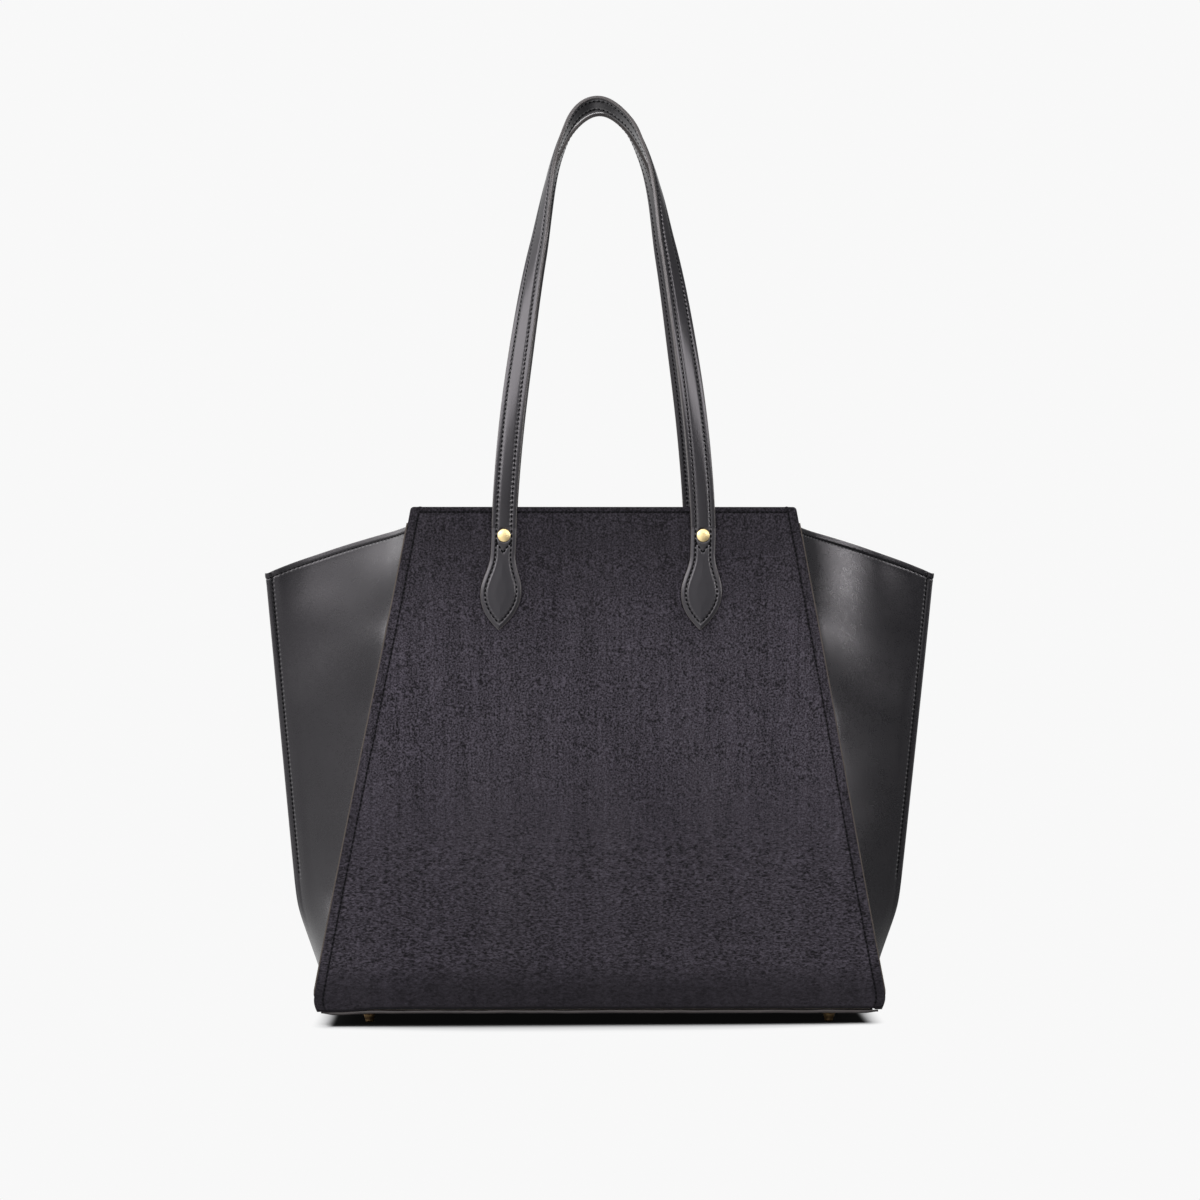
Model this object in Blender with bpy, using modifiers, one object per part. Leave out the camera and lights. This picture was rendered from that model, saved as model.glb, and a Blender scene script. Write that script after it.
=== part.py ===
"""Suede tote bag: two suede panels, two smooth leather wings and a pair of strap handles.

Lengths are in metres. The origin is on the floor under the middle of the bag, the front
faces -Y, the width runs along X and +Z is up. The bag is the same from front and back.
"""

import math

import bmesh
import bpy
from mathutils import Matrix, Vector

MM = 0.001

# Clearances and mesh steps
GAP = 0.3 * MM                      # between two layers that touch on the real bag
MERGE_DISTANCE = 0.01 * MM
CUT_OVERRUN = 2.0 * MM              # how far a cutter runs past what it cuts
ROUND_SIDES = 16                    # sides of a turned piece
ARC_STEPS = 4                       # steps along a rounded corner
SHARE_STEP = 0.001                  # steps for a slope worked out from two close points
HEIGHT_STEP = 0.1 * MM
FACING_OUT = 0.9                    # least share of a front face's normal that points out
UPRIGHT = (math.pi / 2, 0, 0)       # stands a sheet up, with its near face outward
INWARD = (-math.pi / 2, 0, 0)       # turns a fitting to face into the bag

# Body of the bag
BASE_DEPTH = 150.0 * MM             # front face to back face at the panels' lower edge
RIM_NARROWING = 25.6 * MM           # how much less deep the bag is at its rim

# Front and back panels, in suede
PANEL_HEIGHT = 330.0 * MM           # along the sheet
PANEL_BOTTOM_WIDTH = 380.0 * MM
PANEL_TOP_WIDTH = 255.5 * MM
PANEL_THICKNESS = 1.6 * MM
PANEL_LOWER_RADIUS = 6.0 * MM
PANEL_UPPER_RADIUS = 2.0 * MM

# Layers behind each panel
LAYER_INSET = 9.5 * MM              # slanted edge of a layer, in from the panel's edge
STIFFENER_THICKNESS = 1.2 * MM
STIFFENER_DROP = 2.5 * MM           # its upper edge, below the panel's
FACING_THICKNESS = 1.0 * MM
FACING_HEIGHT = 38.0 * MM
LINING_THICKNESS = 0.6 * MM
LAYER_RADIUS = 3.0 * MM

# Pocket on the back lining
POCKET_WIDTH = 190.0 * MM
POCKET_HEIGHT = 130.0 * MM
POCKET_RADIUS = 14.0 * MM
POCKET_DROP = 34.0 * MM             # its mouth, below the facing

# Base, with its piping
BASE_WIDTH = 362.0 * MM
BASE_THICKNESS = 1.6 * MM
BASE_EDGE = 1.5 * MM                # its long edges, in from the panels' faces
BASE_RADIUS = 8.0 * MM
BOARD_THICKNESS = 2.0 * MM
BOARD_SIDE_INSET = 2.0 * MM         # in from the base's short edges
BOARD_END_INSET = 1.5 * MM          # in from the base's long edges
BASE_LINING_INSET = 2.0 * MM        # in from the board all round
PIPING_RADIUS = 1.2 * MM
PIPING_PROUD = 0.2 * MM             # how far it stands out of the panel's face
PIPING_END_INSET = 1.5 * MM         # in from the base's short edges

# Feet, turned in brass
FOOT_HEIGHT = 8.2 * MM
FOOT_SIDE_INSET = 28.0 * MM         # centre, in from the base's short edges
FOOT_END_INSET = 25.0 * MM          # centre, in from the panels' faces
FOOT_FLANGE_RADIUS = 5.0 * MM
FOOT_FLANGE_THICKNESS = 1.2 * MM
FOOT_NECK_RADIUS = 4.0 * MM
FOOT_TOE_RADIUS = 2.9 * MM
FOOT_TOE_ROUND = 1.2 * MM
STUD_RADIUS = 1.6 * MM
STUD_PLAY = 0.3 * MM                # between the stud and what it passes through
WASHER_RADIUS = 6.0 * MM
WASHER_THICKNESS = 0.8 * MM

# Gussets: one sheet a side, from the front seam out to the wing's tip and back
GUSSET_THICKNESS = 1.4 * MM
SEAM_ALLOWANCE = 6.5 * MM           # from the panel's edge in to the fold
FLANGE_REVEAL = 0.7 * MM            # raw edge that shows past the panel's edge
FOLD_RADIUS = 1.2 * MM
WING_TIP_DROP = 43.6 * MM           # wing's tip, below the panel's upper edge
WING_RIM_HALF_WIDTH = 228.8 * MM    # where the edge's line, carried up, meets the rim's height
WING_BEND_HEIGHT = 73.5 * MM        # where the tip's line turns in towards the base
WING_BEND_HALF_WIDTH = 203.7 * MM
WING_BASE_HALF_WIDTH = 180.1 * MM   # at the gusset's lower edge
WING_BEND_SOFTNESS = 1.2 * MM
WING_CORNER_DROP = 13.1 * MM        # gusset's upper corner, below the panel's upper edge
WING_CROWN_SHARE = 0.24             # bulge of the upper edge, as a share of its rise
PINCH = 0.95 * MM                   # half the gap at the stitched edge of the wing
PINCH_LOW = 45.0 * MM               # the wing is fully open below this height
PINCH_HIGH = 112.0 * MM             # and fully pinched above this one
OPEN_POWER_SHARE = 0.58             # roundness of the plan where the wing is open
PINCHED_POWER_SHARE = 2.0           # and where it is pinched
GUSSET_ROWS = 18
GUSSET_ROW_SHARE = 1.3              # rows lie closer together towards the base
FOLD_COLUMNS = 3
WALL_COLUMNS = 7
GUSSET_LINING_DROP = 4.0 * MM       # its upper edge, below the gusset's
GUSSET_LINING_COLUMNS = 4           # columns of the wall that it follows before it turns back
GUSSET_LINING_TURN_SHARE = 0.75     # how blunt its turn is

# Handle straps: a backing, a filler and a face that bulges over it
STRAP_WIDTH = 16.4 * MM
STRAP_BACKING = 1.0 * MM
STRAP_FILLER = 0.5 * MM
STRAP_FILLER_WIDTH = 6.8 * MM
STRAP_FACE = 1.2 * MM
STRAP_RAISE = 0.8 * MM              # how far the middle of the face stands up
STRAP_CROWN_WIDTH = 8.0 * MM        # flat top of the bulge
STRAP_FLANK = 1.0 * MM              # width of its slope, each side
HANDLE_SPACING = 130.0 * MM         # middle of one strap end to the other
FRONT_HANDLE_RISE = 289.0 * MM      # strap's middle line, from its end to the top
BACK_HANDLE_RISE = 284.0 * MM
HANDLE_MEETING = 0.25 * MM          # strap edge to the middle plane, at the top
HANDLE_BOW_SHARE = 1.4              # fullness of the arch
HANDLE_LEAN_SHARE = 1.8             # how late the leg leans in
HANDLE_TWIST_SHARE = 0.75           # how late the strap turns on edge
HANDLE_STRAIGHT = 18.0 * MM         # flat against the panel, before it leans and turns
HANDLE_STATIONS = 36
HINGE_CLEARANCE = 0.5 * MM          # fold line, in front of the strap's face

# Leaf tabs that hold the strap ends
TAB_DROP = 13.8 * MM                # upper edge, below the panel's
TAB_THICKNESS = 2.2 * MM
TAB_NECK = 18.0 * MM
TAB_FLARE = 25.0 * MM
TAB_POINT = 25.0 * MM
TAB_WIDTH = 27.1 * MM
TAB_TIP_SHARE = 2.1                 # roundness of the pointed end
TAB_STEPS = 7
TAB_PAD_DROP = 15.0 * MM            # padded part, below the tab's upper edge
TAB_PAD_MARGIN = 3.2 * MM
TAB_PAD_RAISE = 0.7 * MM
TAB_PAD_SLOPE = 1.6 * MM

# Rivets through the tabs
RIVET_DROP = 5.3 * MM               # centre, below the tab's upper edge
RIVET_CAP_RADIUS = 4.3 * MM
RIVET_CAP_HEIGHT = 1.6 * MM
RIVET_CAP_RIM = 0.4 * MM
RIVET_POST_RADIUS = 1.5 * MM
RIVET_PLAY = 0.3 * MM               # between the post and what it passes through
RIVET_BACK_RADIUS = 4.0 * MM
RIVET_BACK_THICKNESS = 1.4 * MM
RIVET_SOCKET_DEPTH = 1.0 * MM
DOME_STEPS = 4

# Magnetic snap on the facings
SNAP_RADIUS = 9.0 * MM
SNAP_DROP = 20.0 * MM               # centre, below the panel's upper edge
SNAP_SOCKET_THICKNESS = 2.6 * MM
SNAP_SOCKET_RADIUS = 3.4 * MM
SNAP_SOCKET_DEPTH = 1.6 * MM
SNAP_STUD_THICKNESS = 1.6 * MM
SNAP_NUB_RADIUS = 2.8 * MM
SNAP_NUB_HEIGHT = 1.2 * MM

# Heights that follow from the sizes above
BASE_TOP = FOOT_HEIGHT + BASE_THICKNESS
BOARD_BOTTOM = BASE_TOP + GAP
BOARD_TOP = BOARD_BOTTOM + BOARD_THICKNESS
WASHER_BOTTOM = BOARD_TOP + GAP
WASHER_TOP = WASHER_BOTTOM + WASHER_THICKNESS
BASE_LINING_BOTTOM = WASHER_TOP + GAP
PIPING_HEIGHT = BASE_TOP + GAP + PIPING_RADIUS
PANEL_BOTTOM = PIPING_HEIGHT + PIPING_RADIUS + GAP
GUSSET_BOTTOM = BASE_TOP + GAP

# Lean of the panels
PANEL_TILT = math.asin(RIM_NARROWING / 2 / PANEL_HEIGHT)
PANEL_RISE = PANEL_HEIGHT * math.cos(PANEL_TILT)
PANEL_SLOPE = math.tan(PANEL_TILT)
PANEL_TOP = PANEL_BOTTOM + PANEL_RISE
WING_TIP_HEIGHT = PANEL_TOP - WING_TIP_DROP
EDGE_SLOPE = (PANEL_BOTTOM_WIDTH - PANEL_TOP_WIDTH) / 2 / PANEL_HEIGHT

# Depths behind a panel's face, where minus is outside the bag
STIFFENER_DEPTH = PANEL_THICKNESS + GAP
FACING_DEPTH = STIFFENER_DEPTH + STIFFENER_THICKNESS + GAP
POCKET_DEPTH = FACING_DEPTH + LINING_THICKNESS + GAP
FITTING_DEPTH = FACING_DEPTH + FACING_THICKNESS + GAP
TAB_FACE_DEPTH = -GAP - TAB_THICKNESS
RIVET_CAP_DEPTH = TAB_FACE_DEPTH - GAP

# Strap stack, measured from its middle
STRAP_THICKNESS = STRAP_BACKING + GAP + STRAP_FACE + STRAP_RAISE
STRAP_BACKING_OFFSET = (STRAP_BACKING - STRAP_THICKNESS) / 2
STRAP_FILLER_OFFSET = STRAP_BACKING_OFFSET + STRAP_BACKING / 2 + GAP + STRAP_FILLER / 2
STRAP_FACE_OFFSET = STRAP_BACKING_OFFSET + STRAP_BACKING / 2 + GAP + STRAP_FACE / 2

# Places along a panel's sheet
TAB_TOP = PANEL_HEIGHT - TAB_DROP
RIVET_HEIGHT = TAB_TOP - RIVET_DROP
SNAP_HEIGHT = PANEL_HEIGHT - SNAP_DROP
FACING_BOTTOM = PANEL_HEIGHT - FACING_HEIGHT
POCKET_TOP = FACING_BOTTOM - POCKET_DROP


def clear_scene():
    """Start from nothing, so that the script gives the same bag each run."""
    for old in list(bpy.data.objects):
        bpy.data.objects.remove(old, do_unlink=True)


def make_collection(name):
    """A collection in the scene to keep one group of objects together."""
    collection = bpy.data.collections.new(name)
    bpy.context.scene.collection.children.link(collection)
    return collection


def make_material(name, colour, roughness, metallic=0):
    """A Principled material with the part's plain colour and finish."""
    material = bpy.data.materials.new(name)
    material.use_nodes = True
    shader = material.node_tree.nodes["Principled BSDF"]
    shader.inputs["Base Color"].default_value = (*colour, 1)
    shader.inputs["Roughness"].default_value = roughness
    shader.inputs["Metallic"].default_value = metallic
    return material


def add_object(name, data, material, parent=None, place=(0, 0, 0), turn=(0, 0, 0)):
    """Put a mesh or a curve in the bag's collection, under its parent."""
    obj = bpy.data.objects.new(name, data)
    data.materials.append(material)
    BAG.objects.link(obj)
    obj.parent = parent
    obj.location = place
    obj.rotation_euler = turn
    return obj


def add_empty(name, place, turn=(0, 0, 0)):
    """An empty that carries the pieces of one panel or one handle."""
    empty = bpy.data.objects.new(name, None)
    BAG.objects.link(empty)
    empty.location = place
    empty.rotation_euler = turn
    return empty


def rounded_outline(corners):
    """Points of a convex outline, run anticlockwise, from its corners and their radii."""
    points = []
    for index, (x, y, radius) in enumerate(corners):
        corner = Vector((x, y))
        to_last = (Vector(corners[index - 1][:2]) - corner).normalized()
        to_next = (Vector(corners[(index + 1) % len(corners)][:2]) - corner).normalized()
        half_angle = to_last.angle(to_next) / 2
        centre = corner + (to_last + to_next).normalized() * (radius / math.sin(half_angle))
        start = corner + to_last * (radius / math.tan(half_angle)) - centre
        for step in range(ARC_STEPS + 1):
            angle = (math.pi - 2 * half_angle) * step / ARC_STEPS
            points.append(centre + Matrix.Rotation(angle, 2) @ start)
    return points


def circle_outline(x, y, radius):
    """Points of a round hole."""
    turns = [2 * math.pi * side / ROUND_SIDES for side in range(ROUND_SIDES)]
    return [Vector((x + radius * math.cos(turn), y + radius * math.sin(turn))) for turn in turns]


def add_sheet(name, outlines, thickness, material, parent=None, place=(0, 0, 0), turn=(0, 0, 0)):
    """A flat piece: the first outline is its edge and the others are its holes."""
    curve = bpy.data.curves.new(name, "CURVE")
    curve.dimensions = "2D"
    curve.fill_mode = "BOTH"
    curve.extrude = thickness / 2
    for outline in outlines:
        spline = curve.splines.new("POLY")
        spline.points.add(len(outline) - 1)
        for point, (x, y) in zip(spline.points, outline):
            point.co = (x, y, 0, 1)
        spline.use_cyclic_u = True
    return add_object(name, curve, material, parent, place, turn)


def add_turned(name, profile, material, parent=None, place=(0, 0, 0), turn=(0, 0, 0), ring=False):
    """A turned piece: (radius, height) pairs that run down its outer side, spun about Z."""
    edges = [(index, index + 1) for index in range(len(profile) - 1)]
    if ring:
        edges.append((len(profile) - 1, 0))
    mesh = bpy.data.meshes.new(name)
    mesh.from_pydata([(radius, 0, height) for radius, height in profile], edges, [])
    obj = add_object(name, mesh, material, parent, place, turn)
    screw = obj.modifiers.new("Turn", "SCREW")
    screw.steps = ROUND_SIDES
    screw.render_steps = ROUND_SIDES
    screw.use_smooth_shade = True
    screw.use_merge_vertices = True
    screw.merge_threshold = MERGE_DISTANCE
    return obj


def add_formed(name, columns, rows, form, thickness, material, parent=None, mirrored=False):
    """A bent sheet: a grid whose points form() places, mirrored if asked, then thickened."""
    bm = bmesh.new()
    bmesh.ops.create_grid(bm, x_segments=columns, y_segments=rows, size=1)
    for vert in bm.verts:
        column = round((vert.co.x + 1) / 2 * columns)
        row = round((vert.co.y + 1) / 2 * rows)
        vert.co = form(column, row)
    for face in bm.faces:
        face.smooth = True
    mesh = bpy.data.meshes.new(name)
    bm.to_mesh(mesh)
    bm.free()
    obj = add_object(name, mesh, material, parent)
    if mirrored:
        mirror = obj.modifiers.new("Other half", "MIRROR")
        mirror.use_axis = (False, True, False)
        mirror.merge_threshold = MERGE_DISTANCE
    wall = obj.modifiers.new("Thickness", "SOLIDIFY")
    wall.thickness = thickness
    wall.offset = 0
    wall.use_even_offset = True
    return obj


# Panels and the layers behind them

def edge_half_width(height):
    """Half the panel's width, at a height along its sheet."""
    return PANEL_BOTTOM_WIDTH / 2 - EDGE_SLOPE * height


def layer_outline(bottom, top, inset, lower_radius, upper_radius):
    """A trapezoid that follows the panel's slanted edges."""
    low = edge_half_width(bottom) - inset
    high = edge_half_width(top) - inset
    return rounded_outline([
        (-low, bottom, lower_radius), (low, bottom, lower_radius),
        (high, top, upper_radius), (-high, top, upper_radius)])


def rivet_holes():
    """The two holes that the rivets pass through."""
    radius = RIVET_POST_RADIUS + RIVET_PLAY
    return [circle_outline(side * HANDLE_SPACING / 2, RIVET_HEIGHT, radius) for side in (-1, 1)]


def add_layer(name, outlines, depth, thickness, material, frame):
    """A layer of a panel, with its near face at a depth behind the panel's face."""
    middle = depth + thickness / 2
    return add_sheet(name, outlines, thickness, material, frame, (0, middle, 0), UPRIGHT)


def add_panel_layers(side, frame):
    """Suede panel, stiffener, top facing and lining of one side."""
    add_layer(
        side + "_panel",
        [layer_outline(0, PANEL_HEIGHT, 0, PANEL_LOWER_RADIUS, PANEL_UPPER_RADIUS), *rivet_holes()],
        0, PANEL_THICKNESS, SUEDE, frame)
    add_layer(
        side + "_stiffener",
        [layer_outline(0, PANEL_HEIGHT - STIFFENER_DROP, LAYER_INSET, LAYER_RADIUS, LAYER_RADIUS),
         *rivet_holes()],
        STIFFENER_DEPTH, STIFFENER_THICKNESS, BOARD, frame)
    add_layer(
        side + "_facing",
        [layer_outline(FACING_BOTTOM, PANEL_HEIGHT, LAYER_INSET, LAYER_RADIUS, LAYER_RADIUS),
         *rivet_holes()],
        FACING_DEPTH, FACING_THICKNESS, LEATHER, frame)
    add_layer(
        side + "_lining",
        [layer_outline(0, FACING_BOTTOM - GAP, LAYER_INSET, LAYER_RADIUS, LAYER_RADIUS)],
        FACING_DEPTH, LINING_THICKNESS, LINING, frame)


def add_pocket(frame):
    """A slip pocket on the back lining, open at its upper edge."""
    half = POCKET_WIDTH / 2
    bottom = POCKET_TOP - POCKET_HEIGHT
    outline = rounded_outline([
        (-half, bottom, POCKET_RADIUS), (half, bottom, POCKET_RADIUS),
        (half, POCKET_TOP, LAYER_RADIUS), (-half, POCKET_TOP, LAYER_RADIUS)])
    add_layer("inner_slip_pocket", [outline], POCKET_DEPTH, LINING_THICKNESS, LINING, frame)


# Leaf tabs and rivets

def tab_outline():
    """The leaf from its neck down to its point, run anticlockwise from the upper left."""
    neck = STRAP_WIDTH / 2
    swell = TAB_WIDTH / 2 - neck
    edge = [(neck, 0)]
    for step in range(TAB_STEPS):
        share = step / TAB_STEPS
        edge.append((neck + swell * (1 - math.cos(math.pi * share)) / 2,
                     TAB_NECK + TAB_FLARE * share))
    for step in range(TAB_STEPS + 1):
        share = math.sin(math.pi / 2 * step / TAB_STEPS)
        edge.append((TAB_WIDTH / 2 * (1 - share ** TAB_TIP_SHARE),
                     TAB_NECK + TAB_FLARE + TAB_POINT * share))
    left = [(-half, -drop) for half, drop in edge[:-1]]
    right = [(half, -drop) for half, drop in reversed(edge)]
    return left + right


def add_tab(name, x, frame):
    """A leaf tab: its outline is extruded, and the padded part is inset twice and raised."""
    bm = bmesh.new()
    face = bm.faces.new([bm.verts.new((across, up, 0)) for across, up in tab_outline()])
    walls = bmesh.ops.extrude_face_region(bm, geom=[face])
    for vert in [item for item in walls["geom"] if isinstance(item, bmesh.types.BMVert)]:
        vert.co.z += TAB_THICKNESS
    bmesh.ops.recalc_face_normals(bm, faces=bm.faces)
    front = max(bm.faces, key=lambda item: item.calc_center_median().z)
    bmesh.ops.bisect_plane(
        bm, geom=[front, *front.edges, *front.verts], dist=0,
        plane_co=(0, -TAB_PAD_DROP, 0), plane_no=(0, 1, 0))
    fronts = [item for item in bm.faces if item.normal.z > FACING_OUT]
    pad = min(fronts, key=lambda item: item.calc_center_median().y)
    bmesh.ops.inset_individual(bm, faces=[pad], thickness=TAB_PAD_MARGIN)
    bmesh.ops.inset_individual(bm, faces=[pad], thickness=TAB_PAD_SLOPE, depth=TAB_PAD_RAISE)
    mesh = bpy.data.meshes.new(name)
    bm.to_mesh(mesh)
    bm.free()
    tab = add_object(name, mesh, LEATHER, frame, (x, -GAP, TAB_TOP), UPRIGHT)
    hole = tab.modifiers.new("Rivet hole", "BOOLEAN")
    hole.operation = "DIFFERENCE"
    hole.object = add_rivet_cutter(name + "_cutter", x, frame)


def add_rivet_cutter(name, x, frame):
    """The cylinder that cuts a tab's rivet hole."""
    bm = bmesh.new()
    radius = RIVET_POST_RADIUS + RIVET_PLAY
    length = TAB_THICKNESS + 2 * CUT_OVERRUN
    bmesh.ops.create_cone(
        bm, cap_ends=True, segments=ROUND_SIDES, radius1=radius, radius2=radius, depth=length)
    mesh = bpy.data.meshes.new(name)
    bm.to_mesh(mesh)
    bm.free()
    cutter = bpy.data.objects.new(name, mesh)
    CUTTERS.objects.link(cutter)
    cutter.parent = frame
    cutter.location = (x, TAB_FACE_DEPTH + TAB_THICKNESS / 2, RIVET_HEIGHT)
    cutter.rotation_euler = UPRIGHT
    cutter.hide_render = True
    cutter.display_type = "WIRE"
    return cutter


def add_rivet(name, x, frame):
    """A domed cap with the post that runs through tab, panel, stiffener and facing."""
    dome = []
    for step in range(DOME_STEPS + 1):
        angle = math.pi / 2 * step / DOME_STEPS
        rise = (RIVET_CAP_HEIGHT - RIVET_CAP_RIM) * math.cos(angle)
        dome.append((RIVET_CAP_RADIUS * math.sin(angle), RIVET_CAP_RIM + rise))
    tail = RIVET_CAP_DEPTH - FITTING_DEPTH - RIVET_SOCKET_DEPTH + GAP
    profile = dome + [
        (RIVET_CAP_RADIUS, 0), (RIVET_POST_RADIUS, 0), (RIVET_POST_RADIUS, tail), (0, tail)]
    add_turned(name, profile, GILT, frame, (x, RIVET_CAP_DEPTH, RIVET_HEIGHT), UPRIGHT)


def add_rivet_back(name, x, frame):
    """The disc inside the bag that the rivet's post is set into."""
    socket = RIVET_POST_RADIUS + RIVET_PLAY
    profile = [
        (0, -RIVET_SOCKET_DEPTH), (socket, -RIVET_SOCKET_DEPTH), (socket, 0),
        (RIVET_BACK_RADIUS, 0), (RIVET_BACK_RADIUS, -RIVET_BACK_THICKNESS),
        (0, -RIVET_BACK_THICKNESS)]
    add_turned(name, profile, GILT, frame, (x, FITTING_DEPTH, RIVET_HEIGHT), UPRIGHT)


def add_tab_fittings(side, frame):
    """Both leaf tabs of one panel, each with its rivet and the rivet's back."""
    for hand, sign in (("left", -1), ("right", 1)):
        x = sign * HANDLE_SPACING / 2
        add_tab(f"{side}_{hand}_leaf_tab", x, frame)
        add_rivet(f"{side}_{hand}_rivet", x, frame)
        add_rivet_back(f"{side}_{hand}_rivet_back", x, frame)


def add_snap_socket(frame):
    """The half of the magnetic snap with the hole, facing into the bag."""
    profile = [
        (0, SNAP_SOCKET_THICKNESS - SNAP_SOCKET_DEPTH),
        (SNAP_SOCKET_RADIUS, SNAP_SOCKET_THICKNESS - SNAP_SOCKET_DEPTH),
        (SNAP_SOCKET_RADIUS, SNAP_SOCKET_THICKNESS), (SNAP_RADIUS, SNAP_SOCKET_THICKNESS),
        (SNAP_RADIUS, 0), (0, 0)]
    add_turned("snap_socket", profile, STEEL, frame, (0, FITTING_DEPTH, SNAP_HEIGHT), INWARD)


def add_snap_stud(frame):
    """The half of the magnetic snap with the nub, facing into the bag."""
    reach = SNAP_STUD_THICKNESS + SNAP_NUB_HEIGHT
    profile = [
        (0, reach), (SNAP_NUB_RADIUS, reach), (SNAP_NUB_RADIUS, SNAP_STUD_THICKNESS),
        (SNAP_RADIUS, SNAP_STUD_THICKNESS), (SNAP_RADIUS, 0), (0, 0)]
    add_turned("snap_stud", profile, STEEL, frame, (0, FITTING_DEPTH, SNAP_HEIGHT), INWARD)


# Base, piping and feet

def foot_places():
    """Name and place of each foot."""
    x = BASE_WIDTH / 2 - FOOT_SIDE_INSET
    y = BASE_DEPTH / 2 - FOOT_END_INSET
    for depth, toward in (("front", -1), ("back", 1)):
        for hand, sign in (("left", -1), ("right", 1)):
            yield f"{depth}_{hand}", sign * x, toward * y


def rectangle_outline(half_width, half_depth, radius):
    """A flat rectangle with rounded corners, about the origin."""
    return rounded_outline([
        (-half_width, -half_depth, radius), (half_width, -half_depth, radius),
        (half_width, half_depth, radius), (-half_width, half_depth, radius)])


def add_base():
    """Leather base, its board and the lining over it, with holes for the feet's studs."""
    half_width = BASE_WIDTH / 2
    half_depth = BASE_DEPTH / 2 - BASE_EDGE
    holes = [circle_outline(x, y, STUD_RADIUS + STUD_PLAY) for name, x, y in foot_places()]
    add_sheet(
        "base_panel", [rectangle_outline(half_width, half_depth, BASE_RADIUS), *holes],
        BASE_THICKNESS, LEATHER, place=(0, 0, FOOT_HEIGHT + BASE_THICKNESS / 2))
    half_width -= BOARD_SIDE_INSET
    half_depth -= BOARD_END_INSET
    add_sheet(
        "base_board", [rectangle_outline(half_width, half_depth, LAYER_RADIUS), *holes],
        BOARD_THICKNESS, BOARD, place=(0, 0, BOARD_BOTTOM + BOARD_THICKNESS / 2))
    half_width -= BASE_LINING_INSET
    half_depth -= BASE_LINING_INSET
    add_sheet(
        "base_lining", [rectangle_outline(half_width, half_depth, LAYER_RADIUS)],
        LINING_THICKNESS, LINING, place=(0, 0, BASE_LINING_BOTTOM + LINING_THICKNESS / 2))


def add_piping(side, toward):
    """The corded edge between the base and one panel."""
    curve = bpy.data.curves.new(side + "_piping", "CURVE")
    curve.dimensions = "3D"
    curve.bevel_depth = PIPING_RADIUS
    curve.bevel_resolution = 2
    curve.use_fill_caps = True
    spline = curve.splines.new("POLY")
    spline.points.add(1)
    reach = BASE_WIDTH / 2 - PIPING_END_INSET
    spline.points[0].co = (-reach, 0, 0, 1)
    spline.points[1].co = (reach, 0, 0, 1)
    y = toward * (BASE_DEPTH / 2 + PIPING_PROUD - PIPING_RADIUS)
    add_object(side + "_piping", curve, LEATHER, place=(0, y, PIPING_HEIGHT))


def add_feet():
    """Four turned feet, each held by a washer on the board."""
    flange_top = FOOT_HEIGHT - GAP
    flange_bottom = flange_top - FOOT_FLANGE_THICKNESS
    toe = FOOT_TOE_RADIUS - FOOT_TOE_ROUND
    rounding = FOOT_TOE_ROUND * (1 - math.sqrt(1 / 2))
    profile = [
        (0, WASHER_TOP), (STUD_RADIUS, WASHER_TOP), (STUD_RADIUS, flange_top),
        (FOOT_FLANGE_RADIUS, flange_top), (FOOT_FLANGE_RADIUS, flange_bottom),
        (FOOT_NECK_RADIUS, flange_bottom), (FOOT_TOE_RADIUS, FOOT_TOE_ROUND),
        (FOOT_TOE_RADIUS - rounding, rounding), (toe, 0), (0, 0)]
    bore = STUD_RADIUS + STUD_PLAY
    washer = [
        (bore, WASHER_TOP), (WASHER_RADIUS, WASHER_TOP), (WASHER_RADIUS, WASHER_BOTTOM),
        (bore, WASHER_BOTTOM)]
    for name, x, y in foot_places():
        add_turned(name + "_foot", profile, AGED_BRASS, place=(x, y, 0))
        add_turned(name + "_foot_washer", washer, STEEL, place=(x, y, 0), ring=True)


# Gussets

def soft_minimum(first, second, softness):
    """The lesser of two lengths, with the corner where they cross rounded off."""
    spread = math.hypot(first - second, 2 * softness)
    return (first + second - spread) / 2


def smooth_share(value, low, high):
    """From 0 at low to 1 at high, level at both ends."""
    share = min(max((value - low) / (high - low), 0), 1)
    return share * share * (3 - 2 * share)


def panel_face_y(z):
    """Half the bag's depth at a height, to the outside of the panels."""
    return BASE_DEPTH / 2 - PANEL_SLOPE * (z - PANEL_BOTTOM)


def panel_half_width(z):
    """Half the panel's width at a height above the floor."""
    return edge_half_width((z - PANEL_BOTTOM) / math.cos(PANEL_TILT))


def wing_tip_x(z):
    """Half the bag's width at a height, to the wing's outer edge."""
    upper_run = WING_RIM_HALF_WIDTH - WING_BEND_HALF_WIDTH
    lower_run = WING_BEND_HALF_WIDTH - WING_BASE_HALF_WIDTH
    upper_slope = upper_run / (PANEL_TOP - WING_BEND_HEIGHT)
    lower_slope = lower_run / (WING_BEND_HEIGHT - GUSSET_BOTTOM)
    rise = z - WING_BEND_HEIGHT
    return soft_minimum(
        WING_BEND_HALF_WIDTH + upper_slope * rise, WING_BEND_HALF_WIDTH + lower_slope * rise,
        WING_BEND_SOFTNESS)


def pinched_share(z):
    """From 0 where the wing's edge is open to 1 where it is stitched together."""
    return smooth_share(z, PINCH_LOW, PINCH_HIGH)


def wing_power(z):
    """How hollow the wing's plan is: pinched above, rounded below."""
    return OPEN_POWER_SHARE + (PINCHED_POWER_SHARE - OPEN_POWER_SHARE) * pinched_share(z)


def wing_top(share):
    """Height of the gusset's upper edge, from the tip (0) to the panel's seam (1)."""
    rise = PANEL_TOP - WING_CORNER_DROP - WING_TIP_HEIGHT
    return WING_TIP_HEIGHT + rise * ((1 + WING_CROWN_SHARE) * share - WING_CROWN_SHARE * share ** 2)


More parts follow.
